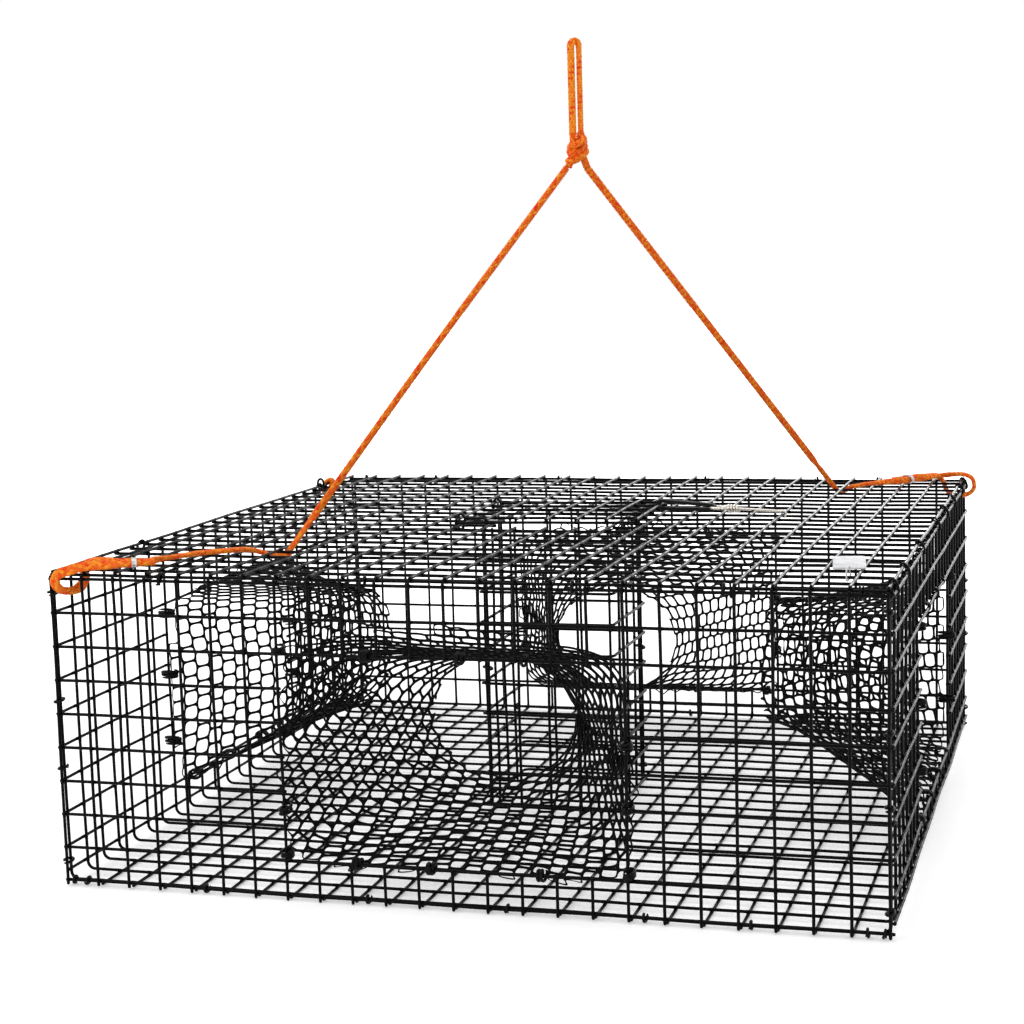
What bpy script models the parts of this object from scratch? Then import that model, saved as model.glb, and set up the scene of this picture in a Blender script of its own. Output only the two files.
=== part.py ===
"""Shrimp trap: a square cage of coated wire mesh with a netting funnel in each side wall.

A mesh bait tube stands in the middle of the cage, under a mesh lid that a rubber strap and a wire
hook hold shut. A rope bridle is tied to two opposite corners and meets in a knot and a hand loop.
The origin is the middle of the cage's floor, +Z is up and the bait tag lies at the front right.
The wires are square in section here, and the cage shows every second wire of its mesh.
"""
import math

import bmesh
import bpy
from mathutils import Matrix, Vector

MM = 0.001

# Driving dimensions of the mesh, in metres
PITCH = 0.0254
WIRE = 0.0024
CLEAR = 0.0003
CELLS = 24
ROWS = 9
BEND_RADIUS = 0.006
BEND_FACETS = 2
WIRE_STUB = 0.0018

# Mouths of the four funnels, in wires from the middle of a wall and in rows above the floor
MOUTH_LINES = 5
MOUTH_LOW_ROW = 1
MOUTH_HIGH_ROW = 7

# Funnels
FUNNEL_REACH = 0.127
RIM_WIDTH = 0.110
RIM_HEIGHT = 0.094
RIM_RISE = 0.010
NET_STRAND = 0.003
NET_AROUND = 10
NET_LEVELS = 3
MOUTH_SQUARENESS = 10.0
FUNNEL_CONCAVITY = 1.25

# Bait tube, bait opening and lid, in wires from the middle
TUBE_LINES = 2
TUBE_STUB = 0.0034
LID_LEFT = -3
LID_RIGHT = 3
LID_FRONT = -2
LID_BACK = 3
LID_TILT = math.radians(1.0)
LID_LIFT = 0.0005

# Rings of bent wire that hold the mesh sheets together
RING_RADIUS = 0.0008
RING_CHAMFER = 0.0006

# Rubber strap and wire hook of the lid
STRAP_PLACE = 0.042
STRAP_LENGTH = 0.043
STRAP_WIDTH = 0.008
STRAP_THICKNESS = 0.0016
STRAP_NEAR_RADIUS = 0.0045
HOOK_RADIUS = 0.0012
HOOK_DIP = 0.0045
HOOK_LINE = 7
EYE_LENGTH = 0.014

# Tag and its tie
TAG_WIDTH = 0.0229
TAG_LENGTH = 0.0546
TAG_THICKNESS = 0.001
TAG_TURN = math.radians(8.0)
TAG_HOLE_RADIUS = 0.0018
TAG_HOLE_INSET = 0.005
TAG_LINE = -10
TAG_INSET = 0.0343
TAG_SETBACK = 0.016
TIE_RADIUS = 0.0006

# Rope bridle
ROPE_RADIUS = 0.003
STRAND_SPACING = 0.0064
CRIMP_LENGTH = 0.005
CRIMP_WALL = 0.001
KNOT_BOTTOM = 0.5298
KNOT_TOP = 0.5552
LOOP_TOP = 0.630
LOOP_HALF_GAP = 0.0039
ROPE_STEP = 0.03

# Sizes and levels that follow from the driving dimensions
HALF_WIRE = WIRE / 2
HALF = CELLS // 2 * PITCH
SHEET = 2 * WIRE
ROW_ZERO = 1.5 * WIRE
RIM = ROW_ZERO + ROWS * PITCH
TOP_UNDERSIDE = RIM + HALF_WIRE + CLEAR
TOP_X_WIRE = TOP_UNDERSIDE + HALF_WIRE
TOP_Y_WIRE = TOP_UNDERSIDE + 1.5 * WIRE
TOP_FACE = TOP_UNDERSIDE + SHEET
SIDE_OUTER = HALF + 1.5 * WIRE
SIDE_INNER = HALF - HALF_WIRE
PANEL_INNER = HALF + HALF_WIRE + CLEAR
PANEL_OUTER = PANEL_INNER + SHEET
BEND_OUTER = BEND_RADIUS + 1.5 * WIRE
FLAT = SIDE_OUTER - BEND_OUTER
ARC = BEND_RADIUS * math.pi / 2
TAG_PLACE = HALF - TAG_INSET
MOUTH_MIDDLE = ROW_ZERO + (MOUTH_LOW_ROW + MOUTH_HIGH_ROW) / 2 * PITCH
MOUTH_HALF_WIDTH = MOUTH_LINES * PITCH + HALF_WIRE
MOUTH_HALF_HEIGHT = (MOUTH_HIGH_ROW - MOUTH_LOW_ROW) / 2 * PITCH + HALF_WIRE
TUBE_INNER = TUBE_LINES * PITCH + HALF_WIRE + CLEAR
TUBE_BEND_INNER = BEND_RADIUS - 1.5 * WIRE
TUBE_FLAT = TUBE_INNER - TUBE_BEND_INNER
TUBE_ROW_ZERO = SHEET + CLEAR + HALF_WIRE
TUBE_POST_TOP = TOP_UNDERSIDE - CLEAR
TURNING_REACH = HALF_WIRE * math.sqrt(2)
SNUG_GRIP = HALF_WIRE + CLEAR + RING_RADIUS
LOOSE_GRIP = TURNING_REACH + CLEAR + RING_RADIUS
LID_AXIS_Z = TOP_FACE + LID_LIFT + 1.5 * WIRE
LID_AXIS = Vector((LID_LEFT * PITCH, 0, LID_AXIS_Z))
LID_WIDTH = (LID_RIGHT - LID_LEFT) * PITCH
STRAP_AXIS_X = LID_AXIS.x + LID_WIDTH * math.cos(LID_TILT)
STRAP_AXIS_Z = LID_AXIS.z + LID_WIDTH * math.sin(LID_TILT)
HOOK_REST_Z = TOP_FACE + CLEAR + HOOK_RADIUS + HALF_WIRE / 8
HOOK_SPAN = HOOK_LINE * PITCH - STRAP_AXIS_X
STRAP_SLOPE = math.asin((STRAP_AXIS_Z - HOOK_REST_Z) / HOOK_SPAN)
STRAP_FAR_RADIUS = HOOK_RADIUS + CLEAR + STRAP_THICKNESS + 0.0001
ROPE_LEVEL = TOP_FACE + ROPE_RADIUS + CLEAR
CRIMP_LEVEL = ROPE_LEVEL + CRIMP_WALL + CLEAR


def material(name, colour, roughness, metallic):
    """A plain Principled material; colour is linear red, green and blue."""
    made = bpy.data.materials.new(name)
    made.use_nodes = True
    shader = made.node_tree.nodes["Principled BSDF"]
    shader.inputs["Base Color"].default_value = (*colour, 1)
    shader.inputs["Roughness"].default_value = roughness
    shader.inputs["Metallic"].default_value = metallic
    made.diffuse_color = (*colour, 1)
    return made


def add_object(name, data, finish, location=(0, 0, 0), rotation=(0, 0, 0)):
    """Link one named object with one material."""
    made = bpy.data.objects.new(name, data)
    made.location = location
    made.rotation_euler = rotation
    if not data.materials:
        data.materials.append(finish)
    bpy.context.scene.collection.objects.link(made)
    return made


def add_mesh(name, bm, finish, location=(0, 0, 0), rotation=(0, 0, 0)):
    """Turn a bmesh with its faces pointing out into a named object."""
    bmesh.ops.recalc_face_normals(bm, faces=bm.faces)
    mesh = bpy.data.meshes.new(name)
    bm.to_mesh(mesh)
    bm.free()
    return add_object(name, mesh, finish, location, rotation)


def stations(start, end, crossings, bends):
    """Where a wire's faces are divided: its ends, both sides of each crossing, and each bend."""
    cuts = {round(start, 7), round(end, 7)}
    for crossing in crossings:
        cuts.update((round(crossing - HALF_WIRE, 7), round(crossing + HALF_WIRE, 7)))
    cuts.update(round(bend, 7) for bend in bends if start < bend < end)
    return sorted(cuts)


def welded_sheet(runs, posts, place, bends=()):
    """One body of crossed square wires, welded where they touch.

    A run is a wire along s in the upper layer, as (t, start, end). A post is a wire along t in the
    lower layer, as (s, start, end). place(s, t, n) gives the point in space, n up from the sheet's
    lower face. Where two wires cross, the square that they share is left open, which joins them.
    """
    bm = bmesh.new()
    known = {}

    def corner(s, t, n):
        key = (round(s, 7), round(t, 7), round(n, 7))
        if key not in known:
            known[key] = bm.verts.new(place(*key))
        return known[key]

    def wire(line, cuts, welds, low, high, weld_level, along_run):
        def section(at):
            sides = ((-1, low), (1, low), (1, high), (-1, high))
            if along_run:
                return [corner(at, line + k * HALF_WIRE, n) for k, n in sides]
            return [corner(line + k * HALF_WIRE, at, n) for k, n in sides]

        rings = [section(at) for at in cuts]
        bm.faces.new(rings[0])
        bm.faces.new(rings[-1])
        for first, second, here, there in zip(rings, rings[1:], cuts, cuts[1:]):
            middle = (here + there) / 2
            welded = any(abs(middle - weld) < HALF_WIRE for weld in welds)
            for k in range(4):
                is_weld_face = (k == 0) if weld_level == low else (k == 2)
                if is_weld_face and welded:
                    continue
                bm.faces.new((first[k], first[(k + 1) % 4], second[(k + 1) % 4], second[k]))

    slack = HALF_WIRE / 2
    for t, start, end in runs:
        welds = [s for s, low, high in posts
                 if start - slack < s < end + slack and low - slack < t < high + slack]
        wire(t, stations(start, end, welds, bends), welds, WIRE, SHEET, WIRE, True)
    for s, start, end in posts:
        welds = [t for t, low, high in runs
                 if start - slack < t < end + slack and low - slack < s < high + slack]
        wire(s, stations(start, end, welds, ()), welds, 0, WIRE, WIRE, False)

    bmesh.ops.dissolve_limit(bm, angle_limit=math.radians(0.1), verts=bm.verts, edges=bm.edges)
    return bm


def split(start, end, cut, low, high):
    """The spans of a wire from start to end; a cut wire stops flush with the wires low and high."""
    if not cut:
        return [(start, end)]
    return [(start, low + HALF_WIRE), (high - HALF_WIRE, end)]


def cage_lines():
    """The wires shown across a wall, counted from its middle: both ends and every second one."""
    end = CELLS // 2
    return [i for i in range(-end, end + 1) if abs(i) == end or (i - MOUTH_LINES) % 2 == 0]


def cage_rows():
    """The level wires shown in a wall, counted up from the floor."""
    return [k for k in range(ROWS + 1) if k in (0, ROWS) or (k - MOUTH_LOW_ROW) % 2 == 0]


def row_level(k):
    return ROW_ZERO + k * PITCH


def wrapped(s, t, n):
    """Floor and both side walls as one bent sheet: s across the trap, t along Y, n inwards."""
    side = math.copysign(1, s)
    run = abs(s)
    angle = min(max((run - FLAT) / BEND_RADIUS, 0), math.pi / 2)
    rise = max(run - FLAT - ARC, 0)
    radius = BEND_OUTER - n
    x = min(run, FLAT) + radius * math.sin(angle)
    z = BEND_OUTER - radius * math.cos(angle) + rise
    return (side * x, t, z)


def wrap_length(z):
    """The distance along the wrapped sheet to height z on a side wall."""
    return FLAT + ARC + z - BEND_OUTER


def floor_and_sides(finish):
    low = wrap_length(row_level(MOUTH_LOW_ROW))
    high = wrap_length(row_level(MOUTH_HIGH_ROW))
    top = wrap_length(RIM + HALF_WIRE)
    runs = []
    for i in cage_lines():
        t = i * PITCH
        if abs(i) < MOUTH_LINES:
            runs.append((t, -low - HALF_WIRE, low + HALF_WIRE))
            runs += [(t, high - HALF_WIRE, top), (t, -top, -high + HALF_WIRE)]
        else:
            runs.append((t, -top, top))
    end = HALF + HALF_WIRE
    mouth = MOUTH_LINES * PITCH
    posts = [(i * PITCH, -end, end) for i in range(-CELLS // 2 + 2, CELLS // 2, 2)]
    for side in (-1, 1):
        posts.append((side * wrap_length(BEND_OUTER + HALF_WIRE), -end, end))
        for k in cage_rows()[1:]:
            cut = MOUTH_LOW_ROW < k < MOUTH_HIGH_ROW
            at = side * wrap_length(row_level(k))
            posts += [(at, *span) for span in split(-end, end, cut, -mouth, mouth)]
    bends = [side * (FLAT + ARC * k / BEND_FACETS) for side in (-1, 1) for k in range(BEND_FACETS + 1)]
    return add_mesh("floor_and_sides", welded_sheet(runs, posts, wrapped, bends), finish)


def end_panels(finish):
    """The front panel, and the same panel turned round as the rear one."""
    mouth = MOUTH_LINES * PITCH
    across = HALF + WIRE_STUB + HALF_WIRE
    runs = []
    for k in cage_rows():
        cut = MOUTH_LOW_ROW < k < MOUTH_HIGH_ROW
        runs += [(row_level(k), *span) for span in split(-across, across, cut, -mouth, mouth)]
    bottom = ROW_ZERO - HALF_WIRE - WIRE_STUB
    top = RIM + HALF_WIRE + WIRE_STUB
    low, high = row_level(MOUTH_LOW_ROW), row_level(MOUTH_HIGH_ROW)
    posts = []
    for i in cage_lines():
        posts += [(i * PITCH, *span) for span in split(bottom, top, abs(i) < MOUTH_LINES, low, high)]

    def upright(s, t, n):
        return (s, n - PANEL_OUTER, t)

    front = add_mesh("front_panel", welded_sheet(runs, posts, upright), finish)
    add_object("rear_panel", front.data, finish, rotation=(0, 0, math.pi))


def top_panel(finish):
    """The top sheet, its Y wires above its X wires, with the bait opening cut in its middle."""
    reach = HALF + HALF_WIRE + WIRE_STUB
    opening = TUBE_LINES * PITCH
    y_wires = [i for i in cage_lines() if abs(i) > TUBE_LINES] + [-TUBE_LINES, 0, TUBE_LINES]
    runs = []
    for i in sorted(y_wires):
        spans = split(-reach, reach, abs(i) < TUBE_LINES, -opening, opening)
        runs += [(i * PITCH, *span) for span in spans]
    posts = []
    for j in range(-CELLS // 2, CELLS // 2 + 1, 2):
        spans = split(-reach, reach, abs(j) < TUBE_LINES, -opening, opening)
        posts += [(j * PITCH, *span) for span in spans]

    def flat(s, t, n):
        return (t, s, TOP_UNDERSIDE + n)

    add_mesh("top_panel", welded_sheet(runs, posts, flat), finish)


def bait_tube(finish):
    """Two mesh sheets bent at one corner each, which meet at the tube's other two corners."""
    def bent(s, t, n):
        angle = min(max(s / BEND_RADIUS, 0), math.pi / 2)
        radius = TUBE_BEND_INNER + n
        x = TUBE_FLAT + min(s, 0) + radius * math.sin(angle)
        y = -TUBE_FLAT - radius * math.cos(angle) + max(s - ARC, 0)
        return (x, y, t)

    def on_front(x):
        return x - TUBE_FLAT

    def on_side(y):
        return ARC + TUBE_FLAT + y

    end = TUBE_LINES * PITCH + TUBE_STUB
    runs = [(TUBE_ROW_ZERO + k * PITCH, on_front(-end), on_side(end)) for k in range(0, ROWS, 2)]
    lines = range(-TUBE_LINES, TUBE_LINES)
    uprights = [on_front(i * PITCH) for i in lines] + [on_side(-i * PITCH) for i in lines]
    posts = [(s, TUBE_ROW_ZERO - HALF_WIRE, TUBE_POST_TOP) for s in sorted(uprights)]
    bends = [ARC * k / BEND_FACETS for k in range(BEND_FACETS + 1)]
    first = add_mesh("bait_tube_front_right", welded_sheet(runs, posts, bent, bends), finish)
    add_object("bait_tube_rear_left", first.data, finish, rotation=(0, 0, math.pi))


def funnel_point(turn, along):
    """A point of the funnel's skin in its own frame: mouth at y = 0, throat towards +y."""
    fade = (1 - along) ** FUNNEL_CONCAVITY
    half_width = RIM_WIDTH / 2 + (MOUTH_HALF_WIDTH - RIM_WIDTH / 2) * fade
    half_height = RIM_HEIGHT / 2 + (MOUTH_HALF_HEIGHT - RIM_HEIGHT / 2) * fade
    power = 2 / (2 + (MOUTH_SQUARENESS - 2) * (1 - along) ** 2)
    across = math.cos(2 * math.pi * turn)
    up = math.sin(2 * math.pi * turn)
    x = half_width * math.copysign(abs(across) ** power, across)
    z = half_height * math.copysign(abs(up) ** power, up) + RIM_RISE * (1 - fade)
    return Vector((x, FUNNEL_REACH * along, z))


def funnel_net():
    """The funnel's netting as strands round diamond holes, with a straight edge at both ends."""
    bm = bmesh.new()
    grid = []
    for level in range(NET_LEVELS + 1):
        shift = level % 2 / 2
        grid.append([bm.verts.new(funnel_point((i + shift) / NET_AROUND, level / NET_LEVELS))
                     for i in range(NET_AROUND)])

    def knot(level, half_steps):
        """The net's vertex at a level, counted round in half steps."""
        return grid[level][(half_steps - level % 2) // 2 % NET_AROUND]

    for level in range(NET_LEVELS + 1):
        for i in range(NET_AROUND):
            at = 2 * i + level % 2
            if level == 0:
                bm.faces.new((knot(0, at), knot(0, at + 2), knot(1, at + 1)))
            if level == NET_LEVELS:
                bm.faces.new((knot(level, at + 2), knot(level, at), knot(level - 1, at + 1)))
            if level < NET_LEVELS - 1:
                bm.faces.new((knot(level, at), knot(level + 1, at + 1),
                              knot(level + 2, at), knot(level + 1, at - 1)))
    bmesh.ops.recalc_face_normals(bm, faces=bm.faces)
    holes = bm.faces[:]
    bmesh.ops.inset_individual(bm, faces=holes, thickness=NET_STRAND / 2, use_even_offset=True)
    bmesh.ops.delete(bm, geom=holes, context="FACES_ONLY")
    bmesh.ops.solidify(bm, geom=bm.faces[:], thickness=WIRE)
    for vert in bm.verts:
        vert.co.y = min(max(vert.co.y, 0), FUNNEL_REACH)
    return bm


def funnels(finish):
    """Four funnels of one shape, each standing just inside its wall's mouth."""
    front = HALF + HALF_WIRE
    side = SIDE_INNER - CLEAR
    first = add_mesh("funnel_front", funnel_net(), finish, (0, -front, MOUTH_MIDDLE))
    for name, x, y, turn in (("funnel_right", side, 0, math.pi / 2),
                             ("funnel_rear", 0, front, math.pi),
                             ("funnel_left", -side, 0, -math.pi / 2)):
        add_object(name, first.data, finish, (x, y, MOUTH_MIDDLE), (0, 0, turn))


def bait_lid(finish):
    """The mesh flap over the bait opening, its origin on the wire that it hinges on."""
    runs = [((i - LID_LEFT) * PITCH, LID_FRONT * PITCH - HALF_WIRE, LID_BACK * PITCH + HALF_WIRE)
            for i in range(LID_LEFT, LID_RIGHT + 1)]
    posts = [(j * PITCH, -HALF_WIRE, LID_WIDTH + HALF_WIRE + WIRE_STUB)
             for j in range(LID_FRONT, LID_BACK + 1)]

    def hung(s, t, n):
        return (t, s, n - 1.5 * WIRE)

    bm = welded_sheet(runs, posts, hung)
    return add_mesh("bait_lid", bm, finish, LID_AXIS, (0, -LID_TILT, 0))


def wire_curve(points, radius, sides_level):
    """A round bar along a list of points, with filled ends."""
    curve = bpy.data.curves.new("bar", "CURVE")
    curve.dimensions = "3D"
    curve.bevel_depth = radius
    curve.bevel_resolution = sides_level
    curve.use_fill_caps = True
    spline = curve.splines.new("POLY")
    spline.points.add(len(points) - 1)
    for spot, point in zip(spline.points, points):
        spot.co = (*point, 1)
    return curve


def open_ring(half_u, half_v, chamfer, gap):
    """The path of an oblong wire ring with cut corners, open at one corner."""
    u, v, c = half_u, half_v, chamfer
    return [(u, v - gap, 0), (u, -v + c, 0), (u - c, -v, 0), (-u + c, -v, 0),
            (-u, -v + c, 0), (-u, v - c, 0), (-u + c, v, 0), (u - gap, v, 0)]


def ring_round(name, first, second, along, grip, finish, far_grip=None):
    """A ring of bent wire round two parallel wires, whose centres are first and second."""
    first, second = Vector(first), Vector(second)
    along = Vector(along)
    reach = (second - first).length
    towards = (second - first).normalized()
    far_grip = far_grip or grip
    half_u = (reach + grip + far_grip) / 2
    centre = first + towards * (half_u - grip)
    frame = Matrix((towards, along.cross(towards), along)).transposed()
    path = open_ring(half_u, max(grip, far_grip), RING_CHAMFER, RING_RADIUS + CLEAR)
    ring = wire_curve(path, RING_RADIUS, 0)
    return add_object(name, ring, finish, centre, frame.to_euler())


def cage_rings(finish):
    """Rings along every edge where two mesh sheets meet, each between two wires of the mesh.

    The rings of the rear half repeat those of the front half, turned round the trap's middle.
    """
    row, corner_x, panel_y = RIM, HALF, PANEL_INNER + HALF_WIRE
    column_y = PANEL_INNER + 1.5 * WIRE
    for turned, place in ((1, "front"), (-1, "rear")):
        def spot(x, y, z):
            return (turned * x, turned * y, z)

        for n, line in enumerate((-7.6, 5.4), start=1):
            x = line * PITCH
            ring_round(f"bottom_ring_{place}_{n}", spot(x, -HALF, ROW_ZERO), spot(x, -panel_y, ROW_ZERO),
                       (1, 0, 0), SNUG_GRIP, finish)
        for n, side in enumerate((-1, 1), start=1):
            for m, level in enumerate((0.6, 5.4), start=1):
                z = row_level(level)
                ring_round(f"corner_ring_{place}_{n}_{m}", spot(side * corner_x, -HALF, z),
                           spot(side * corner_x, -column_y, z), (0, 0, 1), SNUG_GRIP, finish)
        for n, line in enumerate((-2.4, 8.5), start=1):
            x = line * PITCH
            ring_round(f"top_ring_{place}_{n}", spot(x, -panel_y, row), spot(x, -HALF, TOP_X_WIRE),
                       (1, 0, 0), LOOSE_GRIP, finish)
    for turned, place in ((1, "right"), (-1, "left")):
        for n, line in enumerate((-8.5, 6.4), start=1):
            y = turned * line * PITCH
            ring_round(f"top_ring_{place}_{n}", (turned * (HALF + WIRE), y, row),
                       (turned * HALF, y, TOP_Y_WIRE), (0, 1, 0), LOOSE_GRIP, finish)


def tube_rings(finish):
    """Rings that close the bait tube at the two corners where its sheets meet."""
    line = TUBE_LINES * PITCH
    plane = TUBE_INNER + HALF_WIRE
    z = TUBE_ROW_ZERO + 4.5 * PITCH
    for name, turned in (("tube_ring_front_left", 1), ("tube_ring_rear_right", -1)):
        ring_round(name, (-turned * line, -turned * plane, z), (-turned * plane, -turned * line, z),
                   (0, 0, 1), LOOSE_GRIP, finish)


def hinge_rings(finish):
    """Two rings round the lid's left wire and the wire of the top below it, loose to turn in."""
    x = LID_AXIS.x
    for n, line in enumerate((-1.5, 2.5), start=1):
        y = line * PITCH
        ring_round(f"lid_hinge_ring_{n}", (x, y, TOP_Y_WIRE), (x, y, LID_AXIS_Z), (0, 1, 0),
                   SNUG_GRIP, finish, LOOSE_GRIP)


def funnel_clips(finish):
    """One ring for each funnel, round the netting's edge and the wall's wire above its mouth."""
    edge = MOUTH_MIDDLE + MOUTH_HALF_HEIGHT
    reach = 2 * WIRE
    front = HALF + HALF_WIRE
    x = 2.2 * PITCH
    upper = edge - NET_STRAND
    for name, turned in (("funnel_clip_front", 1), ("funnel_clip_rear", -1)):
        ring_round(name, (turned * x, -turned * (PANEL_INNER + HALF_WIRE), upper),
                   (turned * x, -turned * (front - reach), upper), (1, 0, 0), 2 * SNUG_GRIP, finish)
    side = SIDE_INNER - CLEAR
    for name, turned in (("funnel_clip_right", 1), ("funnel_clip_left", -1)):
        ring_round(name, (turned * (HALF + WIRE), turned * x, upper),
                   (turned * (side - reach), turned * x, upper), (0, 1, 0), 2 * SNUG_GRIP, finish)


def stadium(near_radius, far_radius, length, facets=8):
    """The outline round two circles on the X axis, one at the origin and one at length."""
    lean = math.asin((near_radius - far_radius) / length)
    points = []
    for k in range(facets + 1):
        angle = math.pi / 2 - lean + (math.pi + 2 * lean) * k / facets
        points.append((near_radius * math.cos(angle), near_radius * math.sin(angle)))
    for k in range(facets + 1):
        angle = -math.pi / 2 + lean + (math.pi - 2 * lean) * k / facets
        points.append((length + far_radius * math.cos(angle), far_radius * math.sin(angle)))
    return points


def band(outer, inner, depth):
    """A closed band between two outlines of as many points, drawn in XY and deep along Z."""
    bm = bmesh.new()
    layers = [[bm.verts.new((x, y, z)) for x, y in outline]
              for z in (-depth / 2, depth / 2) for outline in (outer, inner)]
    for one, two in ((0, 1), (1, 3), (3, 2), (2, 0)):
        for k in range(len(outer)):
            n = (k + 1) % len(outer)
            bm.faces.new((layers[one][k], layers[one][n], layers[two][n], layers[two][k]))
    return bm


def lid_strap_and_hook(lid, rubber, steel):
    """The rubber loop on the lid's right wire and the hook that it pulls over a wire of the top."""
    axis = bpy.data.objects.new("strap_axis", None)
    bpy.context.scene.collection.objects.link(axis)
    axis.parent = lid
    axis.location = (LID_WIDTH, STRAP_PLACE, 0)
    axis.rotation_euler = (0, LID_TILT + STRAP_SLOPE, 0)

    near, far = STRAP_NEAR_RADIUS, STRAP_FAR_RADIUS
    outer = stadium(near, far, STRAP_LENGTH)
    inner = stadium(near - STRAP_THICKNESS, far - STRAP_THICKNESS, STRAP_LENGTH)
    strap = add_mesh("lid_strap", band(outer, inner, STRAP_WIDTH), rubber, rotation=(math.pi / 2, 0, 0))
    strap.parent = axis

    eye = STRAP_WIDTH / 2 + CLEAR + HOOK_RADIUS + 0.0003
    start = STRAP_LENGTH
    end = STRAP_LENGTH + EYE_LENGTH
    tip = (HOOK_SPAN + (HALF_WIRE + CLEAR + HOOK_RADIUS) / math.cos(STRAP_SLOPE)
           + HOOK_DIP * math.tan(STRAP_SLOPE))
    rise = HOOK_RADIUS * 0.6
    path = [(end, eye / 2, 0), (end - EYE_LENGTH / 3, eye, 0), (start + EYE_LENGTH / 6, eye, 0),
            (start, eye * 0.85, 0), (start, -eye * 0.85, 0), (start + EYE_LENGTH / 6, -eye, 0),
            (end - EYE_LENGTH / 3, -eye, 0), (end, -eye / 3, 0), (end + EYE_LENGTH / 4, 0, 0),
            (HOOK_SPAN - WIRE, 0, 0), (tip - HOOK_RADIUS / 2, 0, 0), (tip, 0, -rise), (tip, 0, -HOOK_DIP)]
    hook = add_object("lid_hook", wire_curve(path, HOOK_RADIUS, 1), steel)
    hook.parent = axis


def tag_and_tie(tag_finish, tie_finish):
    """A blank tag on the top panel and the tie that holds it to one of the panel's wires."""
    axis_y = TAG_LINE * PITCH
    hole_y = axis_y + TAG_SETBACK
    low = TOP_FACE + CLEAR
    bm = bmesh.new()
    bmesh.ops.create_cube(bm, size=1)
    bmesh.ops.scale(bm, vec=(TAG_WIDTH, TAG_LENGTH, TAG_THICKNESS), verts=bm.verts)
    middle = TAG_LENGTH / 2 - TAG_HOLE_INSET
    bmesh.ops.translate(bm, vec=(0, middle, TAG_THICKNESS / 2), verts=bm.verts)
    tag = add_mesh("tag", bm, tag_finish, (TAG_PLACE, hole_y, low), (0, 0, TAG_TURN))

    punch = bmesh.new()
    bmesh.ops.create_cone(punch, cap_ends=True, segments=12, radius1=TAG_HOLE_RADIUS,
                          radius2=TAG_HOLE_RADIUS, depth=4 * TAG_THICKNESS)
    cutter = add_mesh("tag_hole", punch, tag_finish, (TAG_PLACE, hole_y, low))
    cutter.hide_render = True
    cutter.display_type = "WIRE"
    hole = tag.modifiers.new("hole", "BOOLEAN")
    hole.operation = "DIFFERENCE"
    hole.object = cutter

    below = TOP_X_WIRE - TURNING_REACH - CLEAR - TIE_RADIUS
    above = low + TAG_THICKNESS + CLEAR + TIE_RADIUS + 0.0001
    front = axis_y - TURNING_REACH - CLEAR - TIE_RADIUS
    path = open_ring((hole_y - front) / 2, (above - below) / 2, RING_CHAMFER, TIE_RADIUS + CLEAR)
    centre = (TAG_PLACE, (hole_y + front) / 2, (above + below) / 2)
    across = Matrix(((0, 0, 1), (1, 0, 0), (0, 1, 0)))
    add_object("tag_tie", wire_curve(path, TIE_RADIUS, 1), tie_finish, centre, across.to_euler())


def smooth(points, step):
    """Points along the smooth curve through a route's points, about one step apart."""
    route = [Vector(p) for p in points]
    route = [2 * route[0] - route[1]] + route + [2 * route[-1] - route[-2]]
    found = [route[1]]
    for a, b, c, d in zip(route, route[1:], route[2:], route[3:]):
        parts = max(1, round((c - b).length / step))
        for k in range(1, parts + 1):
            u = k / parts
            found.append(0.5 * (2 * b + (c - a) * u + (2 * a - 5 * b + 4 * c - d) * u * u
                                + (3 * b - a - 3 * c + d) * u * u * u))
    return found


# Route of the rope's left half in millimetres: tail, crimp, hitch round the corner's edge wires,
# back through the crimp, along the top, under one wire of the top and up to the knot
LEFT_CRIMP = (-245.5, -292.0)
LEFT_AIM = (-0.870, -0.493)
LEFT_HITCH = [
    (-262, -303.5, 242.7), (-277, -309, 242.4), (-287, -312.3, 239.8), (-295, -314.6, 237.3),
    (-298, -315.4, 233), (-297.5, -314.9, 228.5), (-296, -310, 224.5), (-292.5, -302, 222.8),
    (-288.5, -295, 225), (-286.8, -291.5, 230.5), (-286.5, -292, 236.5), (-282.8, -294.5, 241.9),
    (-272, -297.5, 244.2)]
LEFT_RUN = [
    (-219, -237.5, 242), (-203.2, -224.5, 242), (-199.6, -219, 241.7), (-195.5, -201.5, 239.7),
    (-190, -190, 236.2), (-182, -184.5, 232.6), (-173.5, -176.5, 231.6), (-173, -173, 234.5),
    (-85.2, -76.4, 380.9), (6.5, 20.5, 527.3)]

# Route of the rope's right half, which hitches over the side edge at the opposite corner
RIGHT_CRIMP = (258.8, 247.0)
RIGHT_AIM = (0.590, 0.807)
RIGHT_HITCH = [
    (272, 271.5, 243.2), (281.5, 284.5, 242.6), (288, 285.7, 236.5), (289.5, 286.5, 230.5),
    (294, 287.5, 225), (302, 289, 222.8), (310, 290.5, 224.5), (314.8, 291, 229),
    (315.2, 291, 234.5), (312.5, 291, 240), (305, 289, 243), (295, 282.5, 243.4), (283, 272, 243.3)]
RIGHT_RUN = [
    (242, 230.5, 242.5), (228.6, 219, 242.2), (222.5, 220, 241.2), (217, 223.5, 239.6),
    (211.5, 230.5, 238.2), (206.5, 236.5, 235.3), (202.8, 238.3, 233.2), (198.5, 237, 233),
    (196.2, 233.5, 234.8), (108.4, 133, 381), (20.6, 32.6, 527.3)]
KNOT_PLACE = (14.3, 26.7)


def through_crimp(crimp, aim, side, spots):
    """Points of one strand beside the crimp's middle line, spots along it towards the corner."""
    x, y = crimp
    ax, ay = aim
    shift = side * STRAND_SPACING / MM / 2
    return [(x + ax * k - ay * shift, y + ay * k + ax * shift, CRIMP_LEVEL / MM) for k in spots]


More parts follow.
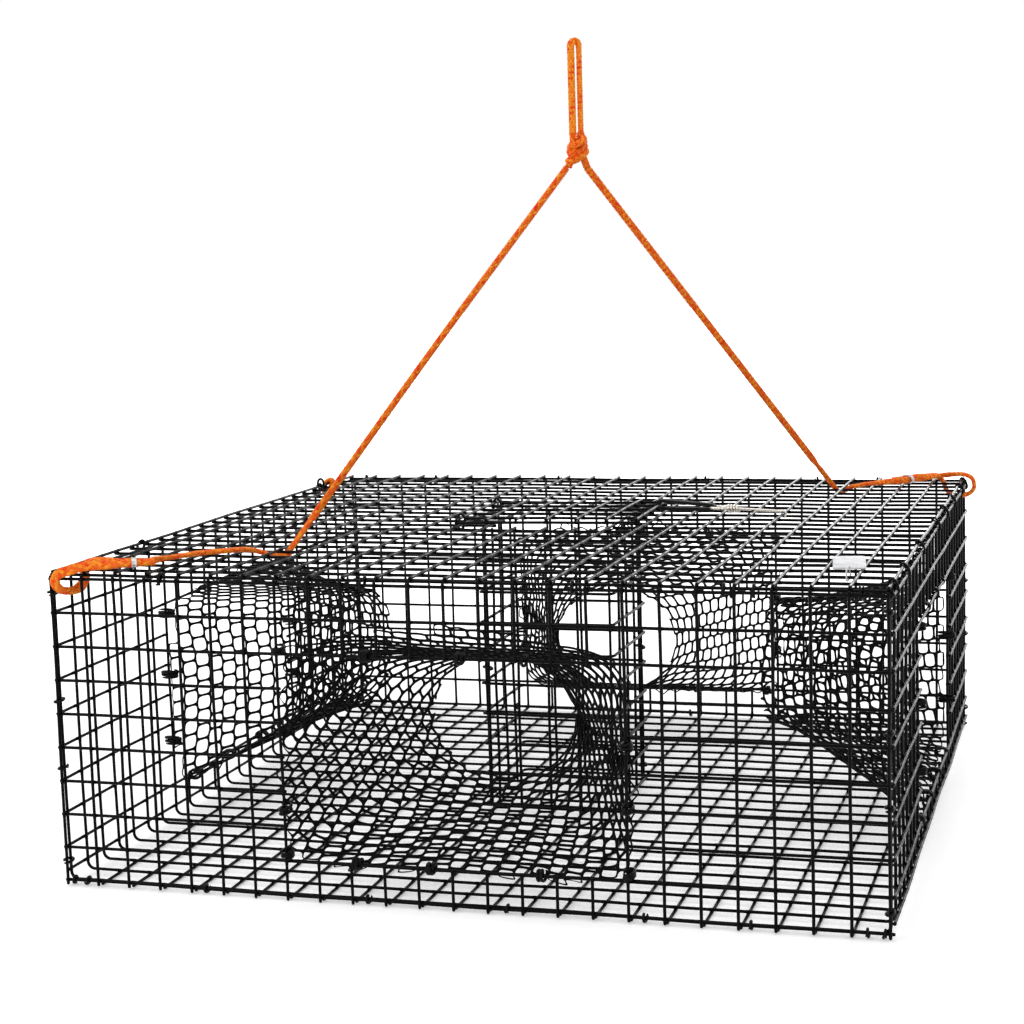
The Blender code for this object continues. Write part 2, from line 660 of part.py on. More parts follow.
def bridle(rope, silver):
    """Both halves of the rope with their crimps, and the knot and hand loop that join them."""
    for name, crimp, aim, hitch, run, side in (
            ("left", LEFT_CRIMP, LEFT_AIM, LEFT_HITCH, LEFT_RUN, 1),
            ("right", RIGHT_CRIMP, RIGHT_AIM, RIGHT_HITCH, RIGHT_RUN, 1)):
        route = through_crimp(crimp, aim, side, (-15, -5, 5, 12))
        route += hitch + through_crimp(crimp, aim, -side, (12, 5, -5, -12)) + run
        points = smooth([Vector(p) * MM for p in route], ROPE_STEP)
        add_object(f"bridle_{name}", wire_curve(points, ROPE_RADIUS, 2), rope)

        half = STRAND_SPACING / 2
        bore = ROPE_RADIUS + CLEAR
        outer = [(x - half, y) for x, y in stadium(bore + CRIMP_WALL, bore + CRIMP_WALL, 2 * half)]
        inner = [(x - half, y) for x, y in stadium(bore, bore, 2 * half)]
        forward = Vector((*aim, 0)).normalized()
        up = Vector((0, 0, 1))
        frame = Matrix((up.cross(forward), up, -forward)).transposed()
        if frame.determinant() < 0:
            frame = Matrix((-up.cross(forward), up, -forward)).transposed()
        place = (crimp[0] * MM, crimp[1] * MM, CRIMP_LEVEL)
        add_mesh(f"crimp_{name}", band(outer, inner, CRIMP_LENGTH), silver, place, frame.to_euler())

    knot_x, knot_y = (v * MM for v in KNOT_PLACE)
    height = KNOT_TOP - KNOT_BOTTOM
    profile = [(0, 0), (0.0105, 0), (0.0115, 0.15), (0.0112, 0.4), (0.0098, 0.7), (0.008, 0.92),
               (0.0072, 1), (0, 1)]
    bm = bmesh.new()
    chain = [bm.verts.new((r, 0, z * height)) for r, z in profile]
    edges = [bm.edges.new(pair) for pair in zip(chain, chain[1:])]
    bmesh.ops.spin(bm, geom=chain + edges, axis=(0, 0, 1), cent=(0, 0, 0), steps=12,
                   angle=2 * math.pi, use_merge=True, use_duplicate=False)
    bmesh.ops.remove_doubles(bm, verts=bm.verts, dist=1e-6)
    add_mesh("bridle_knot", bm, rope, (knot_x, knot_y, KNOT_BOTTOM))

    tangent = (Vector((*RIGHT_CRIMP, 0)) - Vector((*LEFT_CRIMP, 0))).normalized()
    foot = Vector((knot_x, knot_y, KNOT_TOP + CLEAR))
    straight = LOOP_TOP - LOOP_HALF_GAP
    levels = [foot.z + (straight - foot.z) * k / 4 for k in range(5)]
    side = tangent * LOOP_HALF_GAP
    middle = Vector((knot_x, knot_y, 0))
    up_strand = [middle - side + Vector((0, 0, z)) for z in levels]
    bend = [middle - side * math.cos(a) + Vector((0, 0, straight + LOOP_HALF_GAP * math.sin(a)))
            for a in (math.pi * k / 6 for k in range(1, 6))]
    down_strand = [middle + side + Vector((0, 0, z)) for z in reversed(levels)]
    add_object("bridle_loop", wire_curve(up_strand + bend + down_strand, ROPE_RADIUS, 2), rope)


def edge_tie(rope, black):
    """A short cord tied round the top's left edge, and a spare wire ring that hangs beside it."""
    y = 9.5 * PITCH
    radius = 0.0022
    low, high = (-HALF - WIRE, y, RIM), (-HALF, y, TOP_Y_WIRE)
    half_u = (Vector(high) - Vector(low)).length / 2 + TURNING_REACH + CLEAR + radius
    half_v = TURNING_REACH + CLEAR + radius
    towards = (Vector(high) - Vector(low)).normalized()
    along = Vector((0, 1, 0))
    frame = Matrix((towards, along.cross(towards), along)).transposed()
    centre = (Vector(low) + Vector(high)) / 2
    path = open_ring(half_u, half_v, 0.0015, radius + CLEAR)
    add_object("cord_tie", wire_curve(path, radius, 2), rope, centre, frame.to_euler())

    y = 8.6 * PITCH
    ring_round("edge_ring", (-HALF, y, TOP_Y_WIRE), (-HALF, y, TOP_Y_WIRE + 0.004), (0, 1, 0),
               LOOSE_GRIP, black)


def build():
    for old in list(bpy.data.objects):
        bpy.data.objects.remove(old)

    coated_wire = material("coated_wire", (0.012, 0.013, 0.014), 0.28, 0.0)
    netting = material("netting", (0.02, 0.02, 0.022), 0.5, 0.0)
    ring_wire = material("ring_wire", (0.016, 0.016, 0.018), 0.35, 0.3)
    rubber = material("strap_rubber", (0.012, 0.012, 0.012), 0.6, 0.0)
    steel = material("bright_steel", (0.68, 0.66, 0.62), 0.3, 1.0)
    plastic = material("white_plastic", (0.83, 0.83, 0.82), 0.45, 0.0)
    rope = material("orange_rope", (0.9, 0.19, 0.015), 0.75, 0.0)

    floor_and_sides(coated_wire)
    end_panels(coated_wire)
    top_panel(coated_wire)
    bait_tube(coated_wire)
    funnels(netting)
    cage_rings(ring_wire)
    tube_rings(ring_wire)
    hinge_rings(ring_wire)
    funnel_clips(ring_wire)
    lid = bait_lid(coated_wire)
    lid_strap_and_hook(lid, rubber, steel)
    tag_and_tie(plastic, plastic)
    bridle(rope, steel)
    edge_tie(rope, ring_wire)


build()
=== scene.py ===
# %% [markdown]
# # A shrimp trap
# The real trap is a low square cage of coated wire mesh with a netting funnel in each wall, a mesh
# bait tube in the middle, a small lid with a rubber strap, and a braided rope to haul it up by.
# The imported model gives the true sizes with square, widely spaced wires. This lesson keeps those
# places and builds the surfaces that the eye expects round them, in metres, with +Z up.
# The noise that bends the wires and the netting a little gets a fixed seed first, because without
# one it differs from run to run.

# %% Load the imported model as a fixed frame
import math
import random

import bmesh
import bpy
from mathutils import Matrix, Vector, noise


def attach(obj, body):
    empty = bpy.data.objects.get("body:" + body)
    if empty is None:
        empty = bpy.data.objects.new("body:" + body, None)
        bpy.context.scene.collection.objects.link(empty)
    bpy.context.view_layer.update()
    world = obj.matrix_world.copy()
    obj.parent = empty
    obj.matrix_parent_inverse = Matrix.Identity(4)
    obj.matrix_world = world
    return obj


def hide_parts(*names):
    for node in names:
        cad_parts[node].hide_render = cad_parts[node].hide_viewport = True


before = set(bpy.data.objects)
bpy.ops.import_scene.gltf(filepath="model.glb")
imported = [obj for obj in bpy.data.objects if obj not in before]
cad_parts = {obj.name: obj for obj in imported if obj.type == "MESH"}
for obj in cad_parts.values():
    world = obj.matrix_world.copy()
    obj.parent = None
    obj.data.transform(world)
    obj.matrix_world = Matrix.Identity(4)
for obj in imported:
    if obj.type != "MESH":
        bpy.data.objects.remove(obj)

NOISE_SEED = 5
noise.seed_set(NOISE_SEED)

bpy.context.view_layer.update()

# %% [markdown]
# ## The camera
# A photograph fixes the camera by its straight wires: square meshes only look right from one place.
# The lens and the place below were fitted to about sixty wire ends. The camera could be aimed with a
# constraint, but three plain turns say the same and stay where they are put.

# %% Camera
LENS = 72.345
CAMERA_PLACE = Vector((0.45754, -1.64025, 0.46707))
CAMERA_PAN = math.radians(16.979)
CAMERA_PITCH = math.radians(82.562)
CAMERA_ROLL = math.radians(-1.727)

camera = bpy.data.objects.new("camera", bpy.data.cameras.new("camera"))
bpy.context.scene.collection.objects.link(camera)
camera.data.lens = LENS
camera.data.clip_end = 100
camera.matrix_world = (Matrix.Translation(CAMERA_PLACE) @ Matrix.Rotation(CAMERA_PAN, 4, "Z")
                       @ Matrix.Rotation(CAMERA_PITCH, 4, "X") @ Matrix.Rotation(CAMERA_ROLL, 4, "Z"))
bpy.context.scene.camera = camera
print("camera looks from", [round(v, 3) for v in camera.matrix_world.translation])

# %% [markdown]
# ## Sizes that everything shares
# The mesh is one inch mesh of coated wire, and every other place follows from it. Rows are counted
# up from the floor and lines from the middle, so that a ring or a clip can be put at "line 5.4".

# %% Shared sizes
PITCH = 0.0254
WIRE = 0.0024
CLEAR = 0.0003
HALF_WIRE = WIRE / 2
CELLS = 24
ROWS = 9
HALF = CELLS // 2 * PITCH
ROW_ZERO = 1.5 * WIRE
RIM = ROW_ZERO + ROWS * PITCH
TOP_UNDERSIDE = RIM + HALF_WIRE + CLEAR
TOP_X_WIRE = TOP_UNDERSIDE + HALF_WIRE
TOP_Y_WIRE = TOP_UNDERSIDE + 1.5 * WIRE
TOP_FACE = TOP_UNDERSIDE + 2 * WIRE
PANEL_INNER = HALF + HALF_WIRE + CLEAR
PANEL_OUTER = PANEL_INNER + 2 * WIRE
PANEL_ROWS_Y = PANEL_INNER + HALF_WIRE
PANEL_POSTS_Y = PANEL_INNER + 1.5 * WIRE
print("the cage is", round(2 * PANEL_OUTER, 4), "deep and", round(TOP_FACE, 4), "high")

# %% [markdown]
# ## Two helpers that build every wire, yarn and ring
# A round bar along a path could be a curve with a bevel. Here each bar is a flat grid rolled up round
# the path instead, because every ring of the grid can then have its own size and lean: a weld swells,
# a cut end narrows, and a flat yarn turns with the braid. The grid's two long edges meet in a seam,
# which merging doubles closes.


# %% Roll a grid up round a path
def roll_bar(bm, rings, sides):
    """rings holds a centre, a vector across and a vector up for each station along the path."""
    made = bmesh.ops.create_grid(bm, x_segments=sides, y_segments=len(rings) - 1, size=0.5,
                                 calc_uvs=bool(bm.loops.layers.uv))
    turns = [2 * math.pi * k / sides for k in range(sides + 1)]
    spots = [(math.cos(t), math.sin(t)) for t in turns]
    for k, vert in enumerate(made["verts"]):
        centre, across, up = rings[k // (sides + 1)]
        cos, sin = spots[k % (sides + 1)]
        vert.co = centre + across * cos + up * sin
    return made["verts"]


def close_seams(bm, distance=1e-6):
    """Merge the seams, fill the open ends and turn every face outwards."""
    bmesh.ops.remove_doubles(bm, verts=bm.verts, dist=distance)
    rims = [edge for edge in bm.edges if edge.is_boundary]
    bmesh.ops.holes_fill(bm, edges=rims, sides=0)
    bmesh.ops.recalc_face_normals(bm, faces=bm.faces)


# %% Put a finished mesh into the scene
def show(name, bm, finish, body, stands_for=(), crease=40):
    """Make the object, shade it smooth with sharp creases, and let it ride on its body."""
    mesh = bpy.data.meshes.new(name)
    bm.to_mesh(mesh)
    bm.free()
    mesh.materials.append(finish)
    mesh.shade_smooth()
    mesh.set_sharp_from_angle(angle=math.radians(crease))
    made = bpy.data.objects.new(name, mesh)
    bpy.context.scene.collection.objects.link(made)
    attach(made, body)
    if stands_for:
        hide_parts(*stands_for)
    print(name, "has", sum(len(face.vertices) - 2 for face in mesh.polygons), "triangles")
    return made


# %% [markdown]
# ## How a material is written
# Colours are written as the hex values that a screen shows, so one function turns them into the
# linear values that the shader wants. Another adds any node with its settings and links. A pattern's
# scale is one over the real size of its grain, because noise has about one spot per unit.

# %% Colour and node helpers
def linear(code):
    """An sRGB hex colour as linear red, green, blue and alpha."""
    found = []
    for k in (1, 3, 5):
        level = int(code[k:k + 2], 16) / 255
        found.append(level / 12.92 if level <= 0.04045 else ((level + 0.055) / 1.055) ** 2.4)
    return (*found, 1)


def add(tree, kind, inputs=None, **settings):
    """Add a node; an input's value is a number, a colour or another node's output."""
    made = tree.nodes.new(kind)
    for name, value in settings.items():
        setattr(made, name, value)
    for name, value in (inputs or {}).items():
        if isinstance(value, bpy.types.NodeSocket):
            tree.links.new(value, made.inputs[name])
        else:
            made.inputs[name].default_value = value
    return made


def for_the_eye(tree):
    """1 for rays from the camera, a mirror or a glass, and 0 for those that bring light to a surface."""
    rays = add(tree, "ShaderNodeLightPath")
    seen = rays.outputs["Is Camera Ray"]
    for kind in ("Is Glossy Ray", "Is Transmission Ray"):
        either = add(tree, "ShaderNodeMath", {0: seen, 1: rays.outputs[kind]}, operation="MAXIMUM")
        seen = either.outputs["Value"]
    return seen


def finish_of(name, roughness, metallic=0.0, **sockets):
    """A new material with its Principled shader and a Texture Coordinate node."""
    print("new finish:", name)
    made = bpy.data.materials.new(name)
    made.use_nodes = True
    shader = made.node_tree.nodes["Principled BSDF"]
    shader.inputs["Roughness"].default_value = roughness
    shader.inputs["Metallic"].default_value = metallic
    for socket, value in sockets.items():
        shader.inputs[socket.replace("_", " ")].default_value = value
    return made, made.node_tree, shader, add(made.node_tree, "ShaderNodeTexCoord")


def dress(tree, shader, factor, dark, light, low=0.35, high=0.65, relief=0.0, height=None, strength=1.0):
    """Colour the shader between two hex colours by a factor, and raise it by up to relief metres."""
    ramp = add(tree, "ShaderNodeMapRange", {"Value": factor, "From Min": low, "From Max": high})
    mix = add(tree, "ShaderNodeMix", {"Factor": ramp.outputs["Result"]}, data_type="RGBA")
    for socket in mix.inputs:
        if socket.type == "RGBA" and socket.name in "AB":
            socket.default_value = linear(dark if socket.name == "A" else light)
    colour = next(out for out in mix.outputs if out.type == "RGBA")
    tree.links.new(colour, shader.inputs["Base Color"])
    if relief:
        bump = add(tree, "ShaderNodeBump", {"Height": factor if height is None else height,
                                            "Distance": relief, "Strength": strength})
        tree.links.new(bump.outputs["Normal"], shader.inputs["Normal"])


# %% [markdown]
# ## The rope's finish
# Polypropylene rope, spun into loose yarns and braided. The fibres are glossy by themselves but lie
# in all directions, so the rope looks satin. Noise streaks along each yarn run from red, painted shade
# for the gaps, to yellow, painted highlight where the light falls in, and each yarn adds a random
# tone. The streaks read the yarn's own UV map, so they follow its twist.

# %% Rope material
FIBRE = 0.0006

orange_rope, tree, shader, place = finish_of("braided_polypropylene", 0.55, Specular_IOR_Level=0.2)
streaks = add(tree, "ShaderNodeMapping", {"Vector": place.outputs["UV"], "Scale": (6, 90, 1)})
fibre_relief_and_painted_light = add(tree, "ShaderNodeTexNoise", {"Vector": streaks.outputs["Vector"], "Scale": 1.0, "Detail": 3})
tone = add(tree, "ShaderNodeAttribute", attribute_name="tone")
painted_light_and_yarn_tone = add(tree, "ShaderNodeMath", {0: fibre_relief_and_painted_light.outputs["Fac"], 1: tone.outputs["Fac"]}, operation="ADD")
# The ramp's red end is painted shade and its yellow end painted highlight; the bump is real fibre relief.
dress(tree, shader, painted_light_and_yarn_tone.outputs["Value"], "#ee2200", "#ffa424", 0.4, 1.05, relief=FIBRE / 3,
      height=fibre_relief_and_painted_light.outputs["Fac"])

# %% [markdown]
# ## The route of the rope
# A cord is one smooth curve through given points, here the same ones as in the
# imported model. Each half starts with its cut tail, runs through a crimp, makes a hitch round the
# wires at a corner, comes back through the crimp, runs along the top, dips under one wire and then
# rises straight to the knot, which something above holds up.

# %% Routes in metres
STRAND_SPACING = 0.0064
CRIMP_WALL = 0.001
ROPE_WIDTH = 0.006
CRIMP_LEVEL = TOP_FACE + ROPE_WIDTH / 2 + CRIMP_WALL + 2 * CLEAR

LEFT_CRIMP = Vector((-0.2455, -0.2920, CRIMP_LEVEL))
LEFT_AIM = Vector((-0.870, -0.493, 0))
LEFT_HITCH = [
    (-0.2620, -0.3035, 0.2427), (-0.2770, -0.3090, 0.2424), (-0.2870, -0.3123, 0.2398),
    (-0.2950, -0.3146, 0.2373), (-0.2980, -0.3154, 0.2330), (-0.2975, -0.3149, 0.2285),
    (-0.2960, -0.3100, 0.2245), (-0.2925, -0.3020, 0.2228), (-0.2885, -0.2950, 0.2250),
    (-0.2868, -0.2915, 0.2305), (-0.2865, -0.2920, 0.2365), (-0.2828, -0.2945, 0.2419),
    (-0.2720, -0.2975, 0.2442)]
LEFT_RUN = [
    (-0.2190, -0.2375, 0.2420), (-0.2032, -0.2245, 0.2420), (-0.1996, -0.2190, 0.2417),
    (-0.1955, -0.2015, 0.2397), (-0.1900, -0.1900, 0.2362), (-0.1820, -0.1845, 0.2326),
    (-0.1735, -0.1765, 0.2316), (-0.1730, -0.1730, 0.2345), (-0.0852, -0.0764, 0.3809),
    (0.0065, 0.0205, 0.5273)]

RIGHT_CRIMP = Vector((0.2588, 0.2470, CRIMP_LEVEL))
RIGHT_AIM = Vector((0.590, 0.807, 0))
RIGHT_HITCH = [
    (0.2720, 0.2715, 0.2432), (0.2815, 0.2845, 0.2426), (0.2880, 0.2857, 0.2365),
    (0.2895, 0.2865, 0.2305), (0.2940, 0.2875, 0.2250), (0.3020, 0.2890, 0.2228),
    (0.3100, 0.2905, 0.2245), (0.3148, 0.2910, 0.2290), (0.3152, 0.2910, 0.2345),
    (0.3125, 0.2910, 0.2400), (0.3050, 0.2890, 0.2430), (0.2950, 0.2825, 0.2434),
    (0.2830, 0.2720, 0.2433)]
RIGHT_RUN = [
    (0.2420, 0.2305, 0.2425), (0.2286, 0.2190, 0.2422), (0.2225, 0.2200, 0.2412),
    (0.2170, 0.2235, 0.2396), (0.2115, 0.2305, 0.2382), (0.2065, 0.2365, 0.2353),
    (0.2028, 0.2383, 0.2332), (0.1985, 0.2370, 0.2330), (0.1962, 0.2335, 0.2348),
    (0.1084, 0.1330, 0.3810), (0.0206, 0.0326, 0.5273)]
KNOT_PLACE = Vector((0.0143, 0.0267, 0))
KNOT_BOTTOM = 0.5298
KNOT_TOP = 0.5552
LOOP_TOP = 0.630
LOOP_HALF_GAP = 0.0039
TAIL_SPOTS = (-0.015, -0.005, 0.005, 0.012)
BACK_SPOTS = (0.012, 0.005, -0.005, -0.012)


def beside_crimp(crimp, aim, side, spots):
    """Points of one strand beside the crimp's middle line, spots along it towards the corner."""
    shift = side * STRAND_SPACING / 2
    return [crimp + Vector((aim.x * k - aim.y * shift, aim.y * k + aim.x * shift, 0)) for k in spots]


def whole_route(crimp, aim, hitch, run):
    tail = beside_crimp(crimp, aim, 1, TAIL_SPOTS)
    back = beside_crimp(crimp, aim, -1, BACK_SPOTS)
    return tail + [Vector(p) for p in hitch] + back + [Vector(p) for p in run]


# %% [markdown]
# Where a short step meets a long one, as at the foot of a leg, a curve that takes its slope from both
# neighbours swings out past its points. So each slope is no longer than the shorter of the two steps.

# %% A smooth curve through the points
def smooth(points, step):
    """Points along the smooth curve through a route's points, about one step apart."""
    route = [2 * points[0] - points[1]] + points + [2 * points[-1] - points[-2]]
    found = [route[1].copy()]
    for a, b, c, d in zip(route, route[1:], route[2:], route[3:]):
        chord = (c - b).length
        leave = (c - a).normalized() * min(chord, (b - a).length)
        arrive = (d - b).normalized() * min(chord, (d - c).length)
        parts = max(1, round(chord / step))
        for k in range(1, parts + 1):
            u = k / parts
            found.append(b * (2 * u ** 3 - 3 * u * u + 1) + leave * (u ** 3 - 2 * u * u + u)
                         + c * (3 * u * u - 2 * u ** 3) + arrive * (u ** 3 - u * u))
    return found


def direction_at(points, k):
    """The direction of the path at its point k."""
    return (points[min(k + 1, len(points) - 1)] - points[max(k - 1, 0)]).normalized()


def run_lengths(points):
    """The distance from the first point to each point."""
    found = [0.0]
    for before, after in zip(points, points[1:]):
        found.append(found[-1] + (after - before).length)
    return found


# %% [markdown]
# ## Braiding the rope
# Twelve flat yarns cross each other, six each way round. A yarn that goes round one way rides over
# and under the six others, so its height is a cosine that counts the crossings, and the yarns of the
# other way have the same cosine upside down. The braid is flat, so the yarns go round an ellipse, and
# its wide side faces whatever the rope lies on, as a strap does.

# %% The braid
BRAID_STEP = 0.0013
BRAID_LAY = 0.028
YARNS = 6
YARN_SIDES = 6
YARN_HALF_WIDTH = 0.00105
YARN_HALF_THICKNESS = 0.0005
YARN_LIFT = 0.0004
BRAID_HALF_WIDTH = 0.00235
BRAID_HALF_THICKNESS = 0.00135
TURN_SPREAD = 7
TONE_SPREAD = 0.26
TONE_MIDDLE = 0.25


def flat_frames(points, facing):
    """For each point its centre, the direction across the flat braid and the one out of its face."""
    hints = [facing(point).normalized() for point in points]
    frames = []
    for k, point in enumerate(points):
        near = hints[max(0, k - TURN_SPREAD):k + TURN_SPREAD + 1]
        hint = sum(near, Vector()) / len(near)
        lie = direction_at(points, k)
        wide = lie.cross(hint).normalized()
        frames.append((point, wide, wide.cross(lie)))
    return frames


def braid(bm, frames, seed, broad=lambda point: 1.0):
    """Lay the yarns of a flat braid along the frames; broad says how much wider it is at a point."""
    tone = bm.verts.layers.float["tone"]
    shades = random.Random(seed)
    run = run_lengths([centre for centre, wide, out in frames])
    widths = [broad(centre) for centre, wide, out in frames]
    for way in (1, -1):
        for k in range(YARNS):
            centres, normals = [], []
            for (centre, wide, out), s, size in zip(frames, run, widths):
                half_wide = BRAID_HALF_WIDTH * size
                turned = 2 * math.pi * s / BRAID_LAY
                angle = way * turned + 2 * math.pi * k / YARNS
                cos, sin = math.cos(angle), math.sin(angle)
                normal = (wide * (cos / half_wide) + out * (sin / BRAID_HALF_THICKNESS)).normalized()
                lift = way * YARN_LIFT * math.cos(YARNS * turned)
                centres.append(centre + wide * (half_wide * cos) + out * (BRAID_HALF_THICKNESS * sin)
                               + normal * lift)
                normals.append(normal)
            rings = []
            for j, (spot, normal) in enumerate(zip(centres, normals)):
                lie = direction_at(centres, j)
                across = normal.cross(lie).normalized()
                rings.append((spot, across * (YARN_HALF_WIDTH * widths[j]),
                              lie.cross(across) * -YARN_HALF_THICKNESS))
            shade = shades.uniform(-TONE_SPREAD, TONE_SPREAD)
            for vert in roll_bar(bm, rings, YARN_SIDES):
                vert[tone] = shade + TONE_MIDDLE


def new_braid():
    """An empty mesh with the UV map and the attribute that the rope's finish reads."""
    bm = bmesh.new()
    bm.loops.layers.uv.new("yarn")
    bm.verts.layers.float.new("tone")
    return bm


def show_rope(name, bm, node):
    """Close the yarns' ends and show them as the piece of rope that stands for a node."""
    close_seams(bm)
    return show(name, bm, orange_rope, "cage", [node], crease=180)


# %% [markdown]
# ## Both halves of the bridle
# In the air the right half shows its wide side and the left half is turned away. On the top the braid
# lies flat on the mesh, in its crimp it stands on edge, and round the corner's wires it turns its
# flat side to them, so the direction that it faces is a small function of the place. In the hitch the
# braid is also a little broader, because it is bent there and nothing pulls it straight.

# %% Bridle halves
TO_CAMERA = (CAMERA_PLACE - Vector((0, 0, 0.4))).normalized()
AIR = 0.262
CORNER_REACH = 0.022
DOUBLED_REACH = 0.026
HITCH_REACH = 0.03
HITCH_FADE = 0.02
HITCH_SPREAD = {"bridle_left": 0.35, "bridle_right": 0.1}


def facing_at(corner_axis_point, corner_direction, crimp, aim, turned, opened):
    """The direction that the braid's flat side faces at a point, for one half of the bridle."""
    in_air = Matrix.Rotation(math.radians(turned), 3, "Z") @ TO_CAMERA
    on_edge = Vector((aim.y, -aim.x, 0.3))

    def facing(point):
        if point.z > AIR:
            return in_air
        away = point - corner_axis_point
        away -= corner_direction * away.dot(corner_direction)
        if away.length < CORNER_REACH:
            return away.normalized() * 0.6 + opened
        if (point - crimp).length < DOUBLED_REACH:
            return on_edge
        return Vector((0, 0, 1))
    return facing


def broader_at(hitch, spread):
    """How much broader the braid is at a point, by its distance from the middle of its hitch."""
    middle = sum((Vector(point) for point in hitch), Vector()) / len(hitch)

    def broad(point):
        return 1 + spread * max(0, 1 - max(0, (point - middle).length - HITCH_REACH) / HITCH_FADE)
    return broad


edge_level = (RIM + TOP_Y_WIRE) / 2
left_facing = facing_at(Vector((0, -HALF, edge_level)), Vector((1, 0, 0)), LEFT_CRIMP, LEFT_AIM,
                        turned=48, opened=Vector((0, -1, 0.2)))
right_facing = facing_at(Vector((HALF, 0, edge_level)), Vector((0, 1, 0)), RIGHT_CRIMP, RIGHT_AIM,
                         turned=0, opened=Vector())
halves = {}
for name, crimped, aim, hitch, run, facing, seed in (
        ("bridle_left", LEFT_CRIMP, LEFT_AIM, LEFT_HITCH, LEFT_RUN, left_facing, 3),
        ("bridle_right", RIGHT_CRIMP, RIGHT_AIM, RIGHT_HITCH, RIGHT_RUN, right_facing, 4)):
    path = smooth(whole_route(crimped, aim, hitch, run), BRAID_STEP)
    bm = new_braid()
    braid(bm, flat_frames(path, facing), seed, broader_at(hitch, HITCH_SPREAD[name]))
    halves[name] = (show_rope(name + "_braid", bm, name), path)
    print(name, "is", round(run_lengths(path)[-1], 4), "m long")

# %% [markdown]
# ## The knot and the hand loop
# The two halves meet in one overhand knot, and their doubled end makes a loop above it. The loop's
# left strand faces the front and its right strand stands half turned, so the facing turns with the
# angle round the loop.

# %% Knot and loop
LOOP_STEPS = 6
LOOP_TWIST = 30

diagonal = Vector(((RIGHT_CRIMP - LEFT_CRIMP).x, (RIGHT_CRIMP - LEFT_CRIMP).y, 0)).normalized()
straight = LOOP_TOP - LOOP_HALF_GAP
side = diagonal * LOOP_HALF_GAP
levels = [KNOT_TOP + CLEAR + (straight - KNOT_TOP - CLEAR) * k / 4 for k in range(5)]
loop_route = [KNOT_PLACE - side + Vector((0, 0, z)) for z in levels]
loop_route += [KNOT_PLACE - side * math.cos(a) + Vector((0, 0, straight + LOOP_HALF_GAP * math.sin(a)))
               for a in (math.pi * k / LOOP_STEPS for k in range(1, LOOP_STEPS))]
loop_route += [KNOT_PLACE + side + Vector((0, 0, z)) for z in reversed(levels)]
loop_path = smooth(loop_route, BRAID_STEP)


def loop_facing(point):
    across = (point - KNOT_PLACE).dot(diagonal) / LOOP_HALF_GAP
    turn = math.radians(LOOP_TWIST) * (across + 1)
    return Matrix.Rotation(-turn, 3, "Z") @ TO_CAMERA


bm = new_braid()
braid(bm, flat_frames(loop_path, loop_facing), 5)
loop = show_rope("bridle_loop_braid", bm, "bridle_loop")
print("the loop is", round(run_lengths(loop_path)[-1], 4), "m long")

# %% The knot's wraps
KNOT_MIDDLE = KNOT_PLACE + Vector((0, 0, (KNOT_BOTTOM + KNOT_TOP) / 2))
KNOT_RADIUS = 0.0068
KNOT_TURNS = 1.35
KNOT_TILT = 0.0035
WRAP_LEVELS = (-0.0062, -0.0005, 0.0052)
WRAP_POINTS = 22
WRAP_START, WRAP_SHIFT = 75, 115
LEG_FOOT = Vector((0.0063, 0.0059, 0))


def wrap_route(level, start):
    """One strand that goes round the knot on a tilted ring, its ends tucked in."""
    found = []
    for k in range(WRAP_POINTS + 1):
        u = k / WRAP_POINTS
        angle = start + 2 * math.pi * KNOT_TURNS * u
        tuck = 1 - 0.75 * (2 * u - 1) ** 8
        swell = 1 + 0.12 * math.sin(angle * 2 + level * 900)
        rise = level + KNOT_TILT * math.sin(angle + 0.6) + (u - 0.5) * 0.004
        found.append(KNOT_MIDDLE + Vector((math.cos(angle) * KNOT_RADIUS * tuck * swell,
                                           math.sin(angle) * KNOT_RADIUS * tuck * swell, rise)))
    return found


def knot_facing(point):
    away = point - KNOT_MIDDLE
    return Vector((away.x, away.y, away.z * 0.8)) + Vector((0, -0.0001, 0))


bm = new_braid()
for n, level in enumerate(WRAP_LEVELS):
    path = smooth(wrap_route(level, math.radians(WRAP_START + WRAP_SHIFT * n)), BRAID_STEP)
    braid(bm, flat_frames(path, knot_facing), 6 + n)
for n, (foot, head) in enumerate(((-LEG_FOOT, -side), (LEG_FOOT, side))):
    stem = [KNOT_PLACE + foot + Vector((0, 0, KNOT_BOTTOM - 0.002)), KNOT_MIDDLE + foot * 0.4,
            KNOT_PLACE + head + Vector((0, 0, KNOT_TOP + 0.001))]
    braid(bm, flat_frames(smooth(stem, BRAID_STEP), lambda point: TO_CAMERA), 9 + n)
knot = show_rope("bridle_knot_wraps", bm, "bridle_knot")

# %% [markdown]
# ## Crimps
# Each tail is held to its standing part by a short oval sleeve of aluminium that was squeezed flat.
# A sleeve could be two extruded outlines. Here the same rolled grid goes out along the outside and
# back along the bore, which closes the ends by itself, and the middle rings are drawn in by the
# squeeze.

# %% Crimp material
PRESS_MARK = 0.0007
crimped_aluminium, tree, shader, place = finish_of("crimped_aluminium", 0.38, 1.0)
marks = add(tree, "ShaderNodeTexNoise",
            {"Vector": place.outputs["Object"], "Scale": 1 / PRESS_MARK, "Detail": 2})
dress(tree, shader, marks.outputs["Fac"], "#8f8f92", "#e9e9ea", relief=0.00008)

# %% Crimps
CRIMP_LENGTH = 0.0036
CRIMP_SIDES = 28
CRIMP_DENT = 0.0004
CRIMP_LIP = 0.0003
CRIMP_HALF_WIDTH = STRAND_SPACING / 2 + ROPE_WIDTH / 2 + CRIMP_WALL
CRIMP_HALF_HEIGHT = 0.0037


